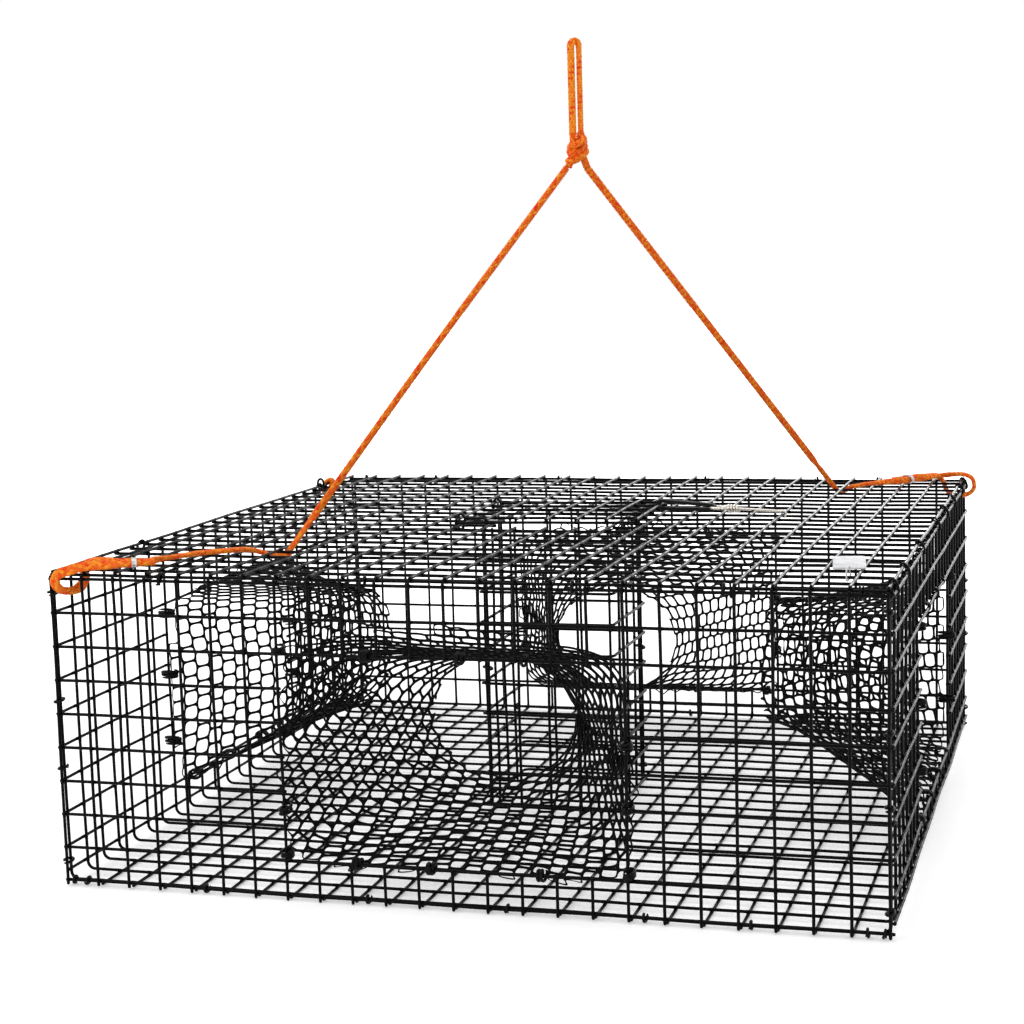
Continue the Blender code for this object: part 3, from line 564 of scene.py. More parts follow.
def crimp(name, middle, aim):
    forward = aim.normalized()
    up = Vector((0, 0, 1))
    across = up.cross(forward)
    outside, inside = [], []
    for k in range(9):
        u = k / 8 * 2 - 1
        centre = middle + forward * (u * CRIMP_LENGTH / 2)
        dent = CRIMP_DENT * max(0, math.cos(u * 4.5)) - CRIMP_LIP * max(0, abs(u) - 0.85) / 0.15
        for rings, wall in ((outside, 0), (inside, CRIMP_WALL)):
            rings.append((centre, across * (CRIMP_HALF_WIDTH - dent * 0.5 - wall),
                          up * (CRIMP_HALF_HEIGHT - dent - wall)))
    bm = bmesh.new()
    roll_bar(bm, outside + inside[::-1] + outside[:1], CRIMP_SIDES)
    bmesh.ops.remove_doubles(bm, verts=bm.verts, dist=1e-6)
    bmesh.ops.recalc_face_normals(bm, faces=bm.faces)
    return show(name + "_sleeve", bm, crimped_aluminium, "cage", [name], crease=50)


left_crimp = crimp("crimp_left", LEFT_CRIMP, LEFT_AIM)
right_crimp = crimp("crimp_right", RIGHT_CRIMP, RIGHT_AIM)

LEFT_LENGTH = 0.705
RIGHT_LENGTH = 0.671
for name, length, pieces in (("bridle_left", LEFT_LENGTH, [left_crimp]),
                             ("bridle_right", RIGHT_LENGTH, [right_crimp])):
    rope, path = halves[name]
    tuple(path[0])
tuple(loop_path[0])

# %% [markdown]
# ## Coated wire
# Galvanised steel wire, welded into mesh and then coated with black vinyl. The coat is thick and
# flows a little before it sets, so it is smooth and glossy with soft dimples, thicker at the welds,
# and grey where it has rubbed on other traps.

# %% Coated wire material
COAT_DIMPLE = 0.005
RUB_SPOT = 0.0016
vinyl_coated_wire, tree, shader, place = finish_of("vinyl_coated_wire", 0.3, Specular_IOR_Level=0.06)
dimples = add(tree, "ShaderNodeTexNoise", {"Vector": place.outputs["Object"], "Scale": 1 / COAT_DIMPLE})
rubs = add(tree, "ShaderNodeTexNoise", {"Vector": place.outputs["Object"], "Scale": 1 / RUB_SPOT,
                                        "Detail": 4, "Roughness": 0.65})
dress(tree, shader, rubs.outputs["Fac"], "#040305", "#161418", 0.55, 0.8, relief=0.0004,
      height=dimples.outputs["Fac"], strength=0.6)
rougher = add(tree, "ShaderNodeMapRange", {"Value": rubs.outputs["Fac"], "From Min": 0.4,
                                           "From Max": 0.7, "To Min": 0.22, "To Max": 0.42})
tree.links.new(rougher.outputs["Result"], shader.inputs["Roughness"])

# %% [markdown]
# ## Welded mesh
# One wire is a rolled grid with a station before, on and after each weld. A sheet is drawn flat, with
# the runs in the upper layer and the posts in the lower one, and is then folded into place by moving
# its vertices, so a bent sheet's wires stay whole round the bend. A little slow noise moves runs and
# posts together: real mesh is never quite straight, and its welds still hold.

# %% One wire and one sheet
WIRE_SIDES = 8
WELD_SWELL = 1.16
WELD_REACH = 0.0026
TIP_LENGTH = 0.0005
TIP_SIZE = 0.72
BEND_STEP = 0.0012
WAVE_LENGTH = 0.11
WAVE_IN_PLANE = 0.0009
WAVE_OUT = 0.0011


def wire_stations(start, end, welds, bends):
    """Where a wire has a ring, and how thick it is there."""
    found = {start: TIP_SIZE, start + TIP_LENGTH: 1.0, end - TIP_LENGTH: 1.0, end: TIP_SIZE}
    for weld in welds:
        for at, size in ((weld - WELD_REACH, 1.0), (weld, WELD_SWELL), (weld + WELD_REACH, 1.0)):
            if start + TIP_LENGTH < at < end - TIP_LENGTH:
                found[at] = size
    for before, after in zip(welds, welds[1:]):
        found.setdefault((before + after) / 2, 1.0)
    for low, high in bends:
        steps = round((high - low) / BEND_STEP)
        for k in range(steps + 1):
            at = low + (high - low) * k / steps
            if start < at < end and all(abs(at - known) > BEND_STEP / 2 for known in found):
                found[at] = 1.0
    return sorted(found.items())


def welded_mesh(runs, posts, place, seed, bends=()):
    """A sheet of round wires: runs are (t, start, end) along s, posts are (s, start, end) along t."""
    bm = bmesh.new()
    s_axis, t_axis, n_axis = Vector((1, 0, 0)), Vector((0, 1, 0)), Vector((0, 0, 1))
    slack = WIRE
    for t, start, end in runs:
        welds = sorted(s for s, low, high in posts
                       if start - slack < s < end + slack and low - slack < t < high + slack)
        rings = [(Vector((at, t, 1.5 * WIRE)), t_axis * (HALF_WIRE * size), n_axis * (HALF_WIRE * size))
                 for at, size in wire_stations(start, end, welds, bends)]
        roll_bar(bm, rings, WIRE_SIDES)
    for s, start, end in posts:
        welds = sorted(t for t, low, high in runs
                       if start - slack < t < end + slack and low - slack < s < high + slack)
        rings = [(Vector((s, at, HALF_WIRE)), s_axis * (HALF_WIRE * size), n_axis * (HALF_WIRE * size))
                 for at, size in wire_stations(start, end, welds, ())]
        roll_bar(bm, rings, WIRE_SIDES)
    for vert in bm.verts:
        s, t, n = vert.co
        wave = noise.noise_vector(Vector((s / WAVE_LENGTH, t / WAVE_LENGTH, seed)))
        vert.co = place(s + wave.x * WAVE_IN_PLANE, t + wave.y * WAVE_IN_PLANE, n + wave.z * WAVE_OUT)
    close_seams(bm)
    return bm


def show_sheet(node, runs, posts, place, seed, bends=(), body="cage"):
    """The welded sheet that stands for a node."""
    show(node + "_mesh", welded_mesh(runs, posts, place, seed, bends), vinyl_coated_wire, body,
         [node], crease=70)


# %% [markdown]
# ## Floor and side walls
# One sheet makes the floor and both side walls, bent up at the sides with a small radius. The place
# function bends it: below the bend a point moves out along X, in the bend it turns, and above it the
# point climbs the wall.

# %% Sizes of the bent sheet and of the mouths
BEND_RADIUS = 0.006
BEND_OUTER = BEND_RADIUS + 1.5 * WIRE
FLAT = HALF + 1.5 * WIRE - BEND_OUTER
ARC = BEND_RADIUS * math.pi / 2
MOUTH_LINES = 5
MOUTH_LOW_ROW = 1
MOUTH_HIGH_ROW = 7
WIRE_STUB = 0.0018


def wrapped(s, t, n):
    side = math.copysign(1, s)
    run = abs(s)
    angle = min(max((run - FLAT) / BEND_RADIUS, 0), math.pi / 2)
    radius = BEND_OUTER - n
    x = min(run, FLAT) + radius * math.sin(angle)
    return (side * x, t, BEND_OUTER - radius * math.cos(angle) + max(run - FLAT - ARC, 0))


def wrap_length(z):
    return FLAT + ARC + z - BEND_OUTER


def row_level(k):
    return ROW_ZERO + k * PITCH


def split(start, end, cut, low, high):
    """The spans of a wire from start to end, with the mouth between low and high left out."""
    return [(start, low + HALF_WIRE), (high - HALF_WIRE, end)] if cut else [(start, end)]


def past_mouth(row):
    return MOUTH_LOW_ROW < row < MOUTH_HIGH_ROW


# %% Floor and side walls
lines = range(-CELLS // 2, CELLS // 2 + 1)
rows = range(ROWS + 1)
mouth = MOUTH_LINES * PITCH
low, high, top = (wrap_length(z) for z in (row_level(MOUTH_LOW_ROW), row_level(MOUTH_HIGH_ROW),
                                           RIM + HALF_WIRE))
runs = []
for i in lines:
    if abs(i) < MOUTH_LINES:
        runs += [(i * PITCH, -low - HALF_WIRE, low + HALF_WIRE), (i * PITCH, high - HALF_WIRE, top),
                 (i * PITCH, -top, -high + HALF_WIRE)]
    else:
        runs.append((i * PITCH, -top, top))
end = HALF + HALF_WIRE
posts = [(i * PITCH, -end, end) for i in lines[1:-1]]
for side in (-1, 1):
    posts.append((side * wrap_length(BEND_OUTER + HALF_WIRE), -end, end))
    for k in rows[1:]:
        for span in split(-end, end, past_mouth(k), -mouth, mouth):
            posts.append((side * wrap_length(row_level(k)), *span))
bends = [(-FLAT - ARC, -FLAT), (FLAT, FLAT + ARC)]
show_sheet("floor_and_sides", runs, posts, wrapped, 1, bends)

# %% [markdown]
# ## Front, rear and top sheets
# These are flat. On the front and the rear the upright wires lie outside and the level ones inside,
# and each wire's cut end stands a little past the last weld, which shows as a small nub.

# %% End panels
across = HALF + WIRE_STUB + HALF_WIRE
bottom = ROW_ZERO - HALF_WIRE - WIRE_STUB
ceiling = RIM + HALF_WIRE + WIRE_STUB
runs = [(row_level(k), *span) for k in rows
        for span in split(-across, across, past_mouth(k), -mouth, mouth)]
posts = [(i * PITCH, *span) for i in lines
         for span in split(bottom, ceiling, abs(i) < MOUTH_LINES, row_level(MOUTH_LOW_ROW),
                           row_level(MOUTH_HIGH_ROW))]
for name, turned, seed in (("front_panel", 1, 2), ("rear_panel", -1, 3)):
    def upright(s, t, n):
        return (turned * s, turned * (n - PANEL_OUTER), t)

    show_sheet(name, runs, posts, upright, seed)

# %% Top panel
TUBE_LINES = 2
opening = TUBE_LINES * PITCH
reach = HALF + HALF_WIRE + WIRE_STUB
spans = [(i * PITCH, *span) for i in lines
         for span in split(-reach, reach, abs(i) < TUBE_LINES, -opening, opening)]


def flat(s, t, n):
    return (t, s, TOP_UNDERSIDE + n)


show_sheet("top_panel", spans, spans, flat, 4)

# %% [markdown]
# ## Bait tube and lid
# The tube is two sheets of the same mesh, bent once each. Their level wires stand past the open
# corners, where rings close the tube. The lid is a small flap with a line of cut ends on its right.

# %% Bait tube
TUBE_STUB = 0.0034
TUBE_INNER = TUBE_LINES * PITCH + HALF_WIRE + CLEAR
TUBE_BEND_INNER = BEND_RADIUS - 1.5 * WIRE
TUBE_FLAT = TUBE_INNER - TUBE_BEND_INNER
TUBE_ROW_ZERO = 2 * WIRE + CLEAR + HALF_WIRE
tube_end = TUBE_LINES * PITCH + TUBE_STUB
on_front = [i * PITCH - TUBE_FLAT for i in range(-TUBE_LINES, TUBE_LINES)]
on_side = [ARC + TUBE_FLAT - i * PITCH for i in range(-TUBE_LINES, TUBE_LINES)]
runs = [(TUBE_ROW_ZERO + k * PITCH, -tube_end - TUBE_FLAT, ARC + TUBE_FLAT + tube_end) for k in range(ROWS)]
posts = [(s, TUBE_ROW_ZERO - HALF_WIRE, TOP_UNDERSIDE - CLEAR) for s in sorted(on_front + on_side)]
for name, turned, seed in (("bait_tube_front_right", 1, 5), ("bait_tube_rear_left", -1, 6)):
    def bent(s, t, n):
        angle = min(max(s / BEND_RADIUS, 0), math.pi / 2)
        radius = TUBE_BEND_INNER + n
        x = TUBE_FLAT + min(s, 0) + radius * math.sin(angle)
        y = -TUBE_FLAT - radius * math.cos(angle) + max(s - ARC, 0)
        return (turned * x, turned * y, t)

    show_sheet(name, runs, posts, bent, seed, [(0, ARC)])

# %% Bait lid
LID_LEFT, LID_RIGHT, LID_FRONT, LID_BACK = -3, 3, -2, 3
LID_TILT = math.radians(1.0)
LID_LIFT = 0.0005
LID_WIDTH = (LID_RIGHT - LID_LEFT) * PITCH
LID_AXIS = Vector((LID_LEFT * PITCH, 0, TOP_FACE + LID_LIFT + 1.5 * WIRE))
runs = [((i - LID_LEFT) * PITCH, LID_FRONT * PITCH - HALF_WIRE, LID_BACK * PITCH + HALF_WIRE)
        for i in range(LID_LEFT, LID_RIGHT + 1)]
posts = [(j * PITCH, -HALF_WIRE, LID_WIDTH + HALF_WIRE + WIRE_STUB) for j in range(LID_FRONT, LID_BACK + 1)]
lid_place = Matrix.Translation(LID_AXIS) @ Matrix.Rotation(-LID_TILT, 4, "Y")


def hung(s, t, n):
    return lid_place @ Vector((t, s, n - 1.5 * WIRE))


show_sheet("bait_lid", runs, posts, hung, 7, body="lid")

# %% [markdown]
# ## Netting
# The funnels are knotless netting of tarred twine, cut as a ring sector and rolled into a cone. Its
# holes are rounded squares in columns, each column half a hole lower than the last, so one flattened
# hexagon tiles it. The netting is drawn flat, inset to leave the strands, cut to the sector, and only
# then rolled onto the funnel.

# %% Netting material
TWINE_TWIST = 0.0011
tarred_twine, tree, shader, place = finish_of("tarred_nylon_twine", 0.6, Specular_IOR_Level=0.04)
twist = add(tree, "ShaderNodeTexNoise", {"Vector": place.outputs["Object"], "Scale": 1 / TWINE_TWIST,
                                         "Detail": 3})
dress(tree, shader, twist.outputs["Fac"], "#050505", "#121112", relief=0.00025)

# %% Flat netting
HOLE_COLUMN = 0.0125
HOLE_ROW = 0.0128
FLAT_SHARE = 0.455
STRAND_HALF = 0.0011
STRAND_THICK = 0.0018
SECTOR_ANGLE = 2.9
SECTOR_OUTER = 0.2805
SECTOR_INNER = 0.1026
MOUTH_LAP = -0.001
SEAM_LAP = 0.005


def flat_netting(lattice_turn):
    """Netting in the plane with its lower side at zero: whole holes at the laps, cut at the rim."""
    bm = bmesh.new()
    bmesh.ops.create_circle(bm, cap_ends=True, segments=6, radius=1)
    for vert in bm.verts:
        tip = abs(vert.co.x) < 0.1
        reach = (1 - FLAT_SHARE) if tip else FLAT_SHARE
        vert.co = Vector((math.copysign(reach * HOLE_COLUMN, vert.co.y),
                          0 if tip else math.copysign(HOLE_ROW / 2, vert.co.x), 0))
    hole = bpy.data.meshes.new("hole")
    bm.to_mesh(hole)
    bm.clear()
    turn = Matrix.Rotation(lattice_turn, 3, "Z")
    reach = math.ceil((SECTOR_OUTER + MOUTH_LAP) / HOLE_ROW) + 2
    for i in range(-reach, reach + 1):
        for j in range(-reach, reach + 1):
            middle = turn @ Vector((i * HOLE_COLUMN, (j + i % 2 / 2) * HOLE_ROW, 0))
            if not in_sector(middle):
                continue
            first = len(bm.verts)
            bm.from_mesh(hole)
            bm.verts.ensure_lookup_table()
            bmesh.ops.transform(bm, matrix=Matrix.Translation(middle) @ turn.to_4x4(),
                                verts=bm.verts[first:])
    bpy.data.meshes.remove(hole)
    bmesh.ops.remove_doubles(bm, verts=bm.verts, dist=1e-5)
    bmesh.ops.subdivide_edges(bm, edges=bm.edges, cuts=1)
    holes = bm.faces[:]
    bmesh.ops.inset_individual(bm, faces=holes, thickness=STRAND_HALF, use_even_offset=True)
    bmesh.ops.delete(bm, geom=holes, context="FACES_ONLY")
    past_rim = [face for face in bm.faces if face.calc_center_median().length < SECTOR_INNER]
    bmesh.ops.delete(bm, geom=past_rim, context="FACES")
    made = bmesh.ops.extrude_face_region(bm, geom=bm.faces[:])
    raised = [item for item in made["geom"] if isinstance(item, bmesh.types.BMVert)]
    bmesh.ops.translate(bm, vec=(0, 0, STRAND_THICK), verts=raised)
    return bm


def in_sector(point):
    """Whether the middle of a hole lies in the ring sector with its laps."""
    r = math.hypot(point.x, point.y)
    if not SECTOR_INNER - HOLE_ROW < r < SECTOR_OUTER + MOUTH_LAP:
        return False
    angle = math.atan2(point.y, point.x)
    slack = SEAM_LAP / r
    return -slack < (angle if angle > -1 else angle + 2 * math.pi) < SECTOR_ANGLE + slack


# %% [markdown]
# ## Rolling the netting into a funnel
# The mouth is the cutout's rounded rectangle and the throat an oval, so the cross-section is a
# superellipse whose power falls along the way. Rolling keeps lengths: a point's share of the sector's
# angle is its share of the girth at that depth. The front funnel's top edge was pulled up in an arch
# between its clips.

# %% Funnel shape
FUNNEL_REACH = 0.127
RIM_WIDTH = 0.110
RIM_HEIGHT = 0.094
MOUTH_SQUARENESS = 10.0
FUNNEL_CONCAVITY = 1.25
MOUTH_HALF_WIDTH = MOUTH_LINES * PITCH + HALF_WIRE
MOUTH_HALF_HEIGHT = (MOUTH_HIGH_ROW - MOUTH_LOW_ROW) / 2 * PITCH + HALF_WIRE
MOUTH_MIDDLE = ROW_ZERO + (MOUTH_LOW_ROW + MOUTH_HIGH_ROW) / 2 * PITCH
GIRTH_STEPS = 160
DEPTH_STEPS = 24
GIRTH_NUDGE = 0.004
DEPTH_NUDGE = 0.02


def funnel_point(turn, along):
    """A point of the funnel's skin in its own frame: mouth at y = 0, throat towards +y."""
    fade = (1 - along) ** FUNNEL_CONCAVITY
    half_width = RIM_WIDTH / 2 + (MOUTH_HALF_WIDTH - RIM_WIDTH / 2) * fade
    half_height = RIM_HEIGHT / 2 + (MOUTH_HALF_HEIGHT - RIM_HEIGHT / 2) * fade
    power = 2 / (2 + (MOUTH_SQUARENESS - 2) * (1 - along) ** 2)
    across, up = math.cos(2 * math.pi * turn), math.sin(2 * math.pi * turn)
    return Vector((half_width * math.copysign(abs(across) ** power, across), FUNNEL_REACH * along,
                   half_height * math.copysign(abs(up) ** power, up)))


def girth_tables():
    """For each depth, points at equal shares of the girth."""
    tables = []
    for level in range(DEPTH_STEPS + 1):
        fine = [funnel_point(k / GIRTH_STEPS / 4, level / DEPTH_STEPS) for k in range(GIRTH_STEPS * 4 + 1)]
        run = run_lengths(fine)
        even, at = [], 0
        for k in range(GIRTH_STEPS + 1):
            goal = run[-1] * k / GIRTH_STEPS
            while run[at + 1] < goal and at < len(run) - 2:
                at += 1
            share = (goal - run[at]) / (run[at + 1] - run[at])
            even.append(fine[at].lerp(fine[at + 1], min(share, 1)))
        tables.append(even)
    return tables


tables = girth_tables()


def on_funnel(share, along):
    """The funnel's point at a share of its girth and of its depth."""
    share = share % 1 * GIRTH_STEPS
    depth = min(max(along, 0), 1) * DEPTH_STEPS
    k, level = int(share), min(int(depth), DEPTH_STEPS - 1)
    near = tables[level][k].lerp(tables[level][k + 1], share - k)
    far = tables[level + 1][k].lerp(tables[level + 1][k + 1], share - k)
    return near.lerp(far, depth - level)


def skin(share, along):
    """A point of the funnel and the direction out of it, away from the middle."""
    girthwise = on_funnel(share + GIRTH_NUDGE, along) - on_funnel(share - GIRTH_NUDGE, along)
    depthwise = (on_funnel(share, min(along + DEPTH_NUDGE, 1))
                 - on_funnel(share, max(along - DEPTH_NUDGE, 0)))
    return on_funnel(share, along), depthwise.cross(girthwise).normalized()


# %% Roll the funnels
WALL_GAP = 0.0012
NET_WAVE = 0.0016
NET_WAVE_LENGTH = 0.045
SEAM_BAND = 0.016
SEAM_STEP = 0.004


def roll_funnel(name, stand, seed, lattice_turn, seam, arch, rise):
    """Netting on the funnel's skin: the seam's place, the top edge's arch and the throat's rise vary."""
    bm = flat_netting(lattice_turn)
    for vert in bm.verts:
        r = math.hypot(vert.co.x, vert.co.y)
        angle = math.atan2(vert.co.y, vert.co.x)
        angle += 2 * math.pi if angle < -1 else 0
        share = angle / SECTOR_ANGLE
        along = (SECTOR_OUTER - r) / (SECTOR_OUTER - SECTOR_INNER)
        spot, away = skin(share + seam, along)
        lap = max(r - SECTOR_OUTER, 0)
        if lap:
            beside = Vector((spot.x, 0, spot.z)).normalized()
            spot += Vector((math.copysign(min(abs(beside.x) * 2, 1), beside.x), 0,
                            math.copysign(min(abs(beside.z) * 2, 1), beside.z))) * lap
            away = away.lerp(Vector((0, 1, 0)), min(lap / STRAND_THICK, 1)).normalized()
        over = min(max((SEAM_BAND - angle * r) / SEAM_STEP, 0), 1)
        wave = noise.noise_vector(spot / NET_WAVE_LENGTH + Vector((seed, 0, 0))) * NET_WAVE
        spot += wave * min(1, max(along, 0) * 6 + 0.15)
        if spot.z > 0:
            bow = max(0, 1 - (spot.x / MOUTH_HALF_WIDTH) ** 2)
            spot.z += arch * bow * (1 - max(along, 0)) ** 3 * (spot.z / MOUTH_HALF_HEIGHT) ** 2
        spot.z += rise * (1 - (1 - min(max(along, 0), 1)) ** FUNNEL_CONCAVITY)
        spot.y = max(spot.y, 0) + WALL_GAP
        spot += away * (vert.co.z + over * STRAND_THICK * 1.1)
        vert.co = stand @ spot
    bmesh.ops.recalc_face_normals(bm, faces=bm.faces)
    made = show(name + "_net", bm, tarred_twine, "cage", [name], crease=180)
    rounder = made.modifiers.new("rounder", "SUBSURF")
    rounder.levels = 1
    rounder.render_levels = 1


front_y = HALF + HALF_WIRE
side_x = HALF - HALF_WIRE - CLEAR
stands = {}
for wall, x, y, turned, *shape in (("front", 0, -front_y, 0, 0.604, 0.0, 0.018, 0.006),
                                   ("right", side_x, 0, math.pi / 2, 0.725, 0.25, 0.004, 0.018),
                                   ("rear", 0, front_y, math.pi, -0.12, 0.0, 0.005, -0.004),
                                   ("left", -side_x, 0, -math.pi / 2, 2.03, 0.3, 0.003, 0.018)):
    stands[wall] = Matrix.Translation((x, y, MOUTH_MIDDLE)) @ Matrix.Rotation(turned, 4, "Z")
    roll_funnel("funnel_" + wall, stands[wall], turned, *shape)

# %% [markdown]
# ## Hog rings
# The sheets are laced together with hog rings: short wires squeezed into a C round both edge wires,
# with the points overlapping side by side. The path is an oval that turns a little more than once,
# shifted sideways as it goes, and narrows to its two points.

# %% Ring material
ring_coat, tree, shader, place = finish_of("coated_ring_wire", 0.32, Specular_IOR_Level=0.06)
dimples = add(tree, "ShaderNodeTexNoise", {"Vector": place.outputs["Object"], "Scale": 1 / RUB_SPOT})
dress(tree, shader, dimples.outputs["Fac"], "#08080a", "#19181b", relief=0.0002)

# %% One ring
RING_RADIUS = 0.00112
RING_SIDES = 10
RING_STEPS = 30
RING_OVERLAP = 0.6
RING_SHIFT = 2.1
POINT_SIZE = 0.45
POINT_TAPER = 3.5


def hog_ring(bm, first, second, along, start, slack=0.0003):
    """A closed C of bent wire round two parallel wires whose centres are first and second."""
    first, second, along = Vector(first), Vector(second), Vector(along)
    towards = second - first
    half_reach = towards.length / 2
    towards = towards.normalized() if towards.length > 1e-6 else along.orthogonal().normalized()
    beside = along.cross(towards)
    half_v = HALF_WIRE + slack + RING_RADIUS
    half_u = half_reach + half_v
    middle = (first + second) / 2
    rings = []
    for k in range(RING_STEPS + 1):
        u = k / RING_STEPS
        angle = start + (2 * math.pi + RING_OVERLAP) * u
        spot = middle + towards * (half_u * math.cos(angle)) + beside * (half_v * math.sin(angle))
        spot += along * (RING_RADIUS * RING_SHIFT * (u - 0.5))
        out = (towards * (math.cos(angle) / half_u) + beside * (math.sin(angle) / half_v)).normalized()
        size = RING_RADIUS * min(1, POINT_SIZE + POINT_TAPER * min(u, 1 - u))
        rings.append((spot, along * size, out * size))
    roll_bar(bm, rings, RING_SIDES)


def show_rings(name, rings, stands_for=()):
    """One object for a list of rings, each given as the hog_ring arguments."""
    bm = bmesh.new()
    for ring in rings:
        hog_ring(bm, *ring)
    close_seams(bm)
    show(name, bm, ring_coat, "cage", stands_for, crease=60)


def replace_ring(node, ring):
    show_rings(node.replace("ring", "hog_ring"), [ring], [node])


# %% [markdown]
# ## Rings along the cage's edges
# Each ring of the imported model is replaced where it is, and the other rings that the photograph shows
# on the same edges go in as groups, one for each edge.

# %% Where the edge rings sit
SNUG = 0.0001
LOOSE = 0.0006
starts = random.Random(11)


def any_start():
    return starts.uniform(0, 2 * math.pi)


def bottom_ring(turned, line):
    x = turned * line * PITCH
    return ((x, turned * -HALF, ROW_ZERO), (x, turned * -PANEL_ROWS_Y, ROW_ZERO), (1, 0, 0), any_start(),
            SNUG)


def corner_ring(turned, side, level):
    z = row_level(level)
    return ((turned * side * HALF, turned * -HALF, z), (turned * side * HALF, turned * -PANEL_POSTS_Y, z),
            (0, 0, 1), any_start())


def top_ring(turned, line):
    x = turned * line * PITCH
    return ((x, turned * -PANEL_ROWS_Y, RIM), (x, turned * -HALF, TOP_X_WIRE), (1, 0, 0), any_start(),
            LOOSE)


def side_ring(turned, line):
    y = turned * line * PITCH
    return ((turned * (HALF + WIRE), y, RIM), (turned * HALF, y, TOP_Y_WIRE), (0, 1, 0), any_start(), SNUG)


# %% Edge rings
for turned, wall in ((1, "front"), (-1, "rear")):
    for n, line in enumerate((-7.6, 5.4), start=1):
        replace_ring(f"bottom_ring_{wall}_{n}", bottom_ring(turned, line))
    for n, side in enumerate((-1, 1), start=1):
        for m, level in enumerate((0.6, 5.4), start=1):
            replace_ring(f"corner_ring_{wall}_{n}_{m}", corner_ring(turned, side, level))
    for n, line in enumerate((-2.4, 8.5), start=1):
        replace_ring(f"top_ring_{wall}_{n}", top_ring(turned, line))
for turned, wall in ((1, "right"), (-1, "left")):
    for n, line in enumerate((-8.5, 6.4), start=1):
        replace_ring(f"top_ring_{wall}_{n}", side_ring(turned, line))

FRONT_BOTTOM = (-11.85, -11.42, -2.6, 1.5, 8.3, 11.4, 11.85)
REAR_BOTTOM = (-11.7, -8.4, -1.6, 2.5, 11.6)
FRONT_TOP = (-8.6, 3.6, 7.7, 7.96, 11.3)
REAR_TOP = (-6.6, -8.9, 3.4, 11.4)
RIGHT_TOP = (-11.2, -4.4, 0.6, 3.5, 9.6, 11.3)
show_rings("more_bottom_rings", [bottom_ring(1, line) for line in FRONT_BOTTOM]
           + [bottom_ring(-1, line) for line in REAR_BOTTOM])
show_rings("more_top_rings", [top_ring(1, line) for line in FRONT_TOP]
           + [top_ring(-1, line) for line in REAR_TOP]
           + [side_ring(1, line) for line in RIGHT_TOP])
show_rings("more_corner_rings", [corner_ring(turned, side, level) for turned in (1, -1)
                                 for side in (-1, 1) for level in (3.4, 8.6)])

# %% Rings of the tube and the lid
tube_line = TUBE_LINES * PITCH
tube_plane = TUBE_INNER + HALF_WIRE
tube_z = TUBE_ROW_ZERO + 4.5 * PITCH
TUBE_RING_ROWS = (-4.1, 3.6)
TUBE_SLACK = 0.0007
HINGE_SLACK = 0.0012
for name, turned in (("tube_ring_front_left", 1), ("tube_ring_rear_right", -1)):
    def tube_ring(row):
        z = tube_z + row * PITCH
        return ((-turned * tube_line, -turned * tube_plane, z),
                (-turned * tube_plane, -turned * tube_line, z), (0, 0, 1), any_start(), TUBE_SLACK)

    replace_ring(name, tube_ring(0))
    show_rings(name.replace("ring", "more_rings"), [tube_ring(row) for row in TUBE_RING_ROWS])
for n, line in enumerate((-1.5, 2.5), start=1):
    spot = (LID_AXIS.x, line * PITCH)
    replace_ring(f"lid_hinge_ring_{n}", ((*spot, TOP_Y_WIRE), (*spot, LID_AXIS.z), (0, 1, 0), 1.2 * n,
                                         HINGE_SLACK))

# %% [markdown]
# ## Funnel clips
# The netting's edge is clipped to the wires round the mouth with the same rings. The front mouth's
# clips sit where the photograph shows them, in meshes from the middle and above the floor, and the
# other mouths have theirs at about the same spacing. A clip is three turns side by side, apart from
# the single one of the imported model.

# %% Funnel clips
FRONT_CLIPS = ((-5, 7.1), (-2.4, 7), (0.35, 7), (5, 4.75), (-5, 2.5), (-5, 1.2), (-2.9, 1), (-0.7, 1),
               (2.5, 1), (5, 1.2), (5, 3))
OTHER_CLIPS = ((-5, 6.9), (-2.5, 7), (0.2, 7), (5, 6.7), (5, 4.7), (-5, 4.6), (-5, 2.6), (5, 2.5),
               (-4.6, 1), (-1.9, 1), (0.9, 1), (3.6, 1))
CLIP_SPACING = 0.07
CLIP_SLACK = 0.0012


def at_upright(along_wall):
    return abs(along_wall) >= MOUTH_LINES - 0.05


def clip_at(along_wall, z, stand):
    """A ring round a wire of the mouth and the netting behind it, in the funnel's own frame."""
    upright = at_upright(along_wall)
    x = along_wall * PITCH
    height = row_level(z) - MOUTH_MIDDLE
    depth = -(PANEL_POSTS_Y if upright else PANEL_ROWS_Y) + front_y
    ring_axis = Vector((0, 0, 1)) if upright else Vector((1, 0, 0))
    first = stand @ Vector((x, depth, height))
    second = stand @ Vector((x, WALL_GAP + STRAND_THICK / 2, height))
    return (first, second, stand.to_3x3() @ ring_axis, any_start(), CLIP_SLACK)


for wall, stand in stands.items():
    show_rings(f"clip_{wall}", [clip_at(2.2, 7, stand)], [f"funnel_clip_{wall}"])
    triples = []
    for a, z in FRONT_CLIPS if wall == "front" else OTHER_CLIPS:
        for shift in (-CLIP_SPACING, 0, CLIP_SPACING):
            triples.append((a, z + shift) if at_upright(a) else (a + shift, z))
    show_rings(f"more_clips_{wall}", [clip_at(*spot, stand) for spot in triples])

# %% [markdown]
# ## Strap and hook
# A strip cut from rubber tube loops round the lid's right wire, and a bright wire hook pulls it over
# a wire of the top. The strap is drawn as the middle line of its band, widened by an extrusion and
# given its wall by solidify. The hook's wire goes through the strap, lies back on itself and is wound
# four times round its own shank.

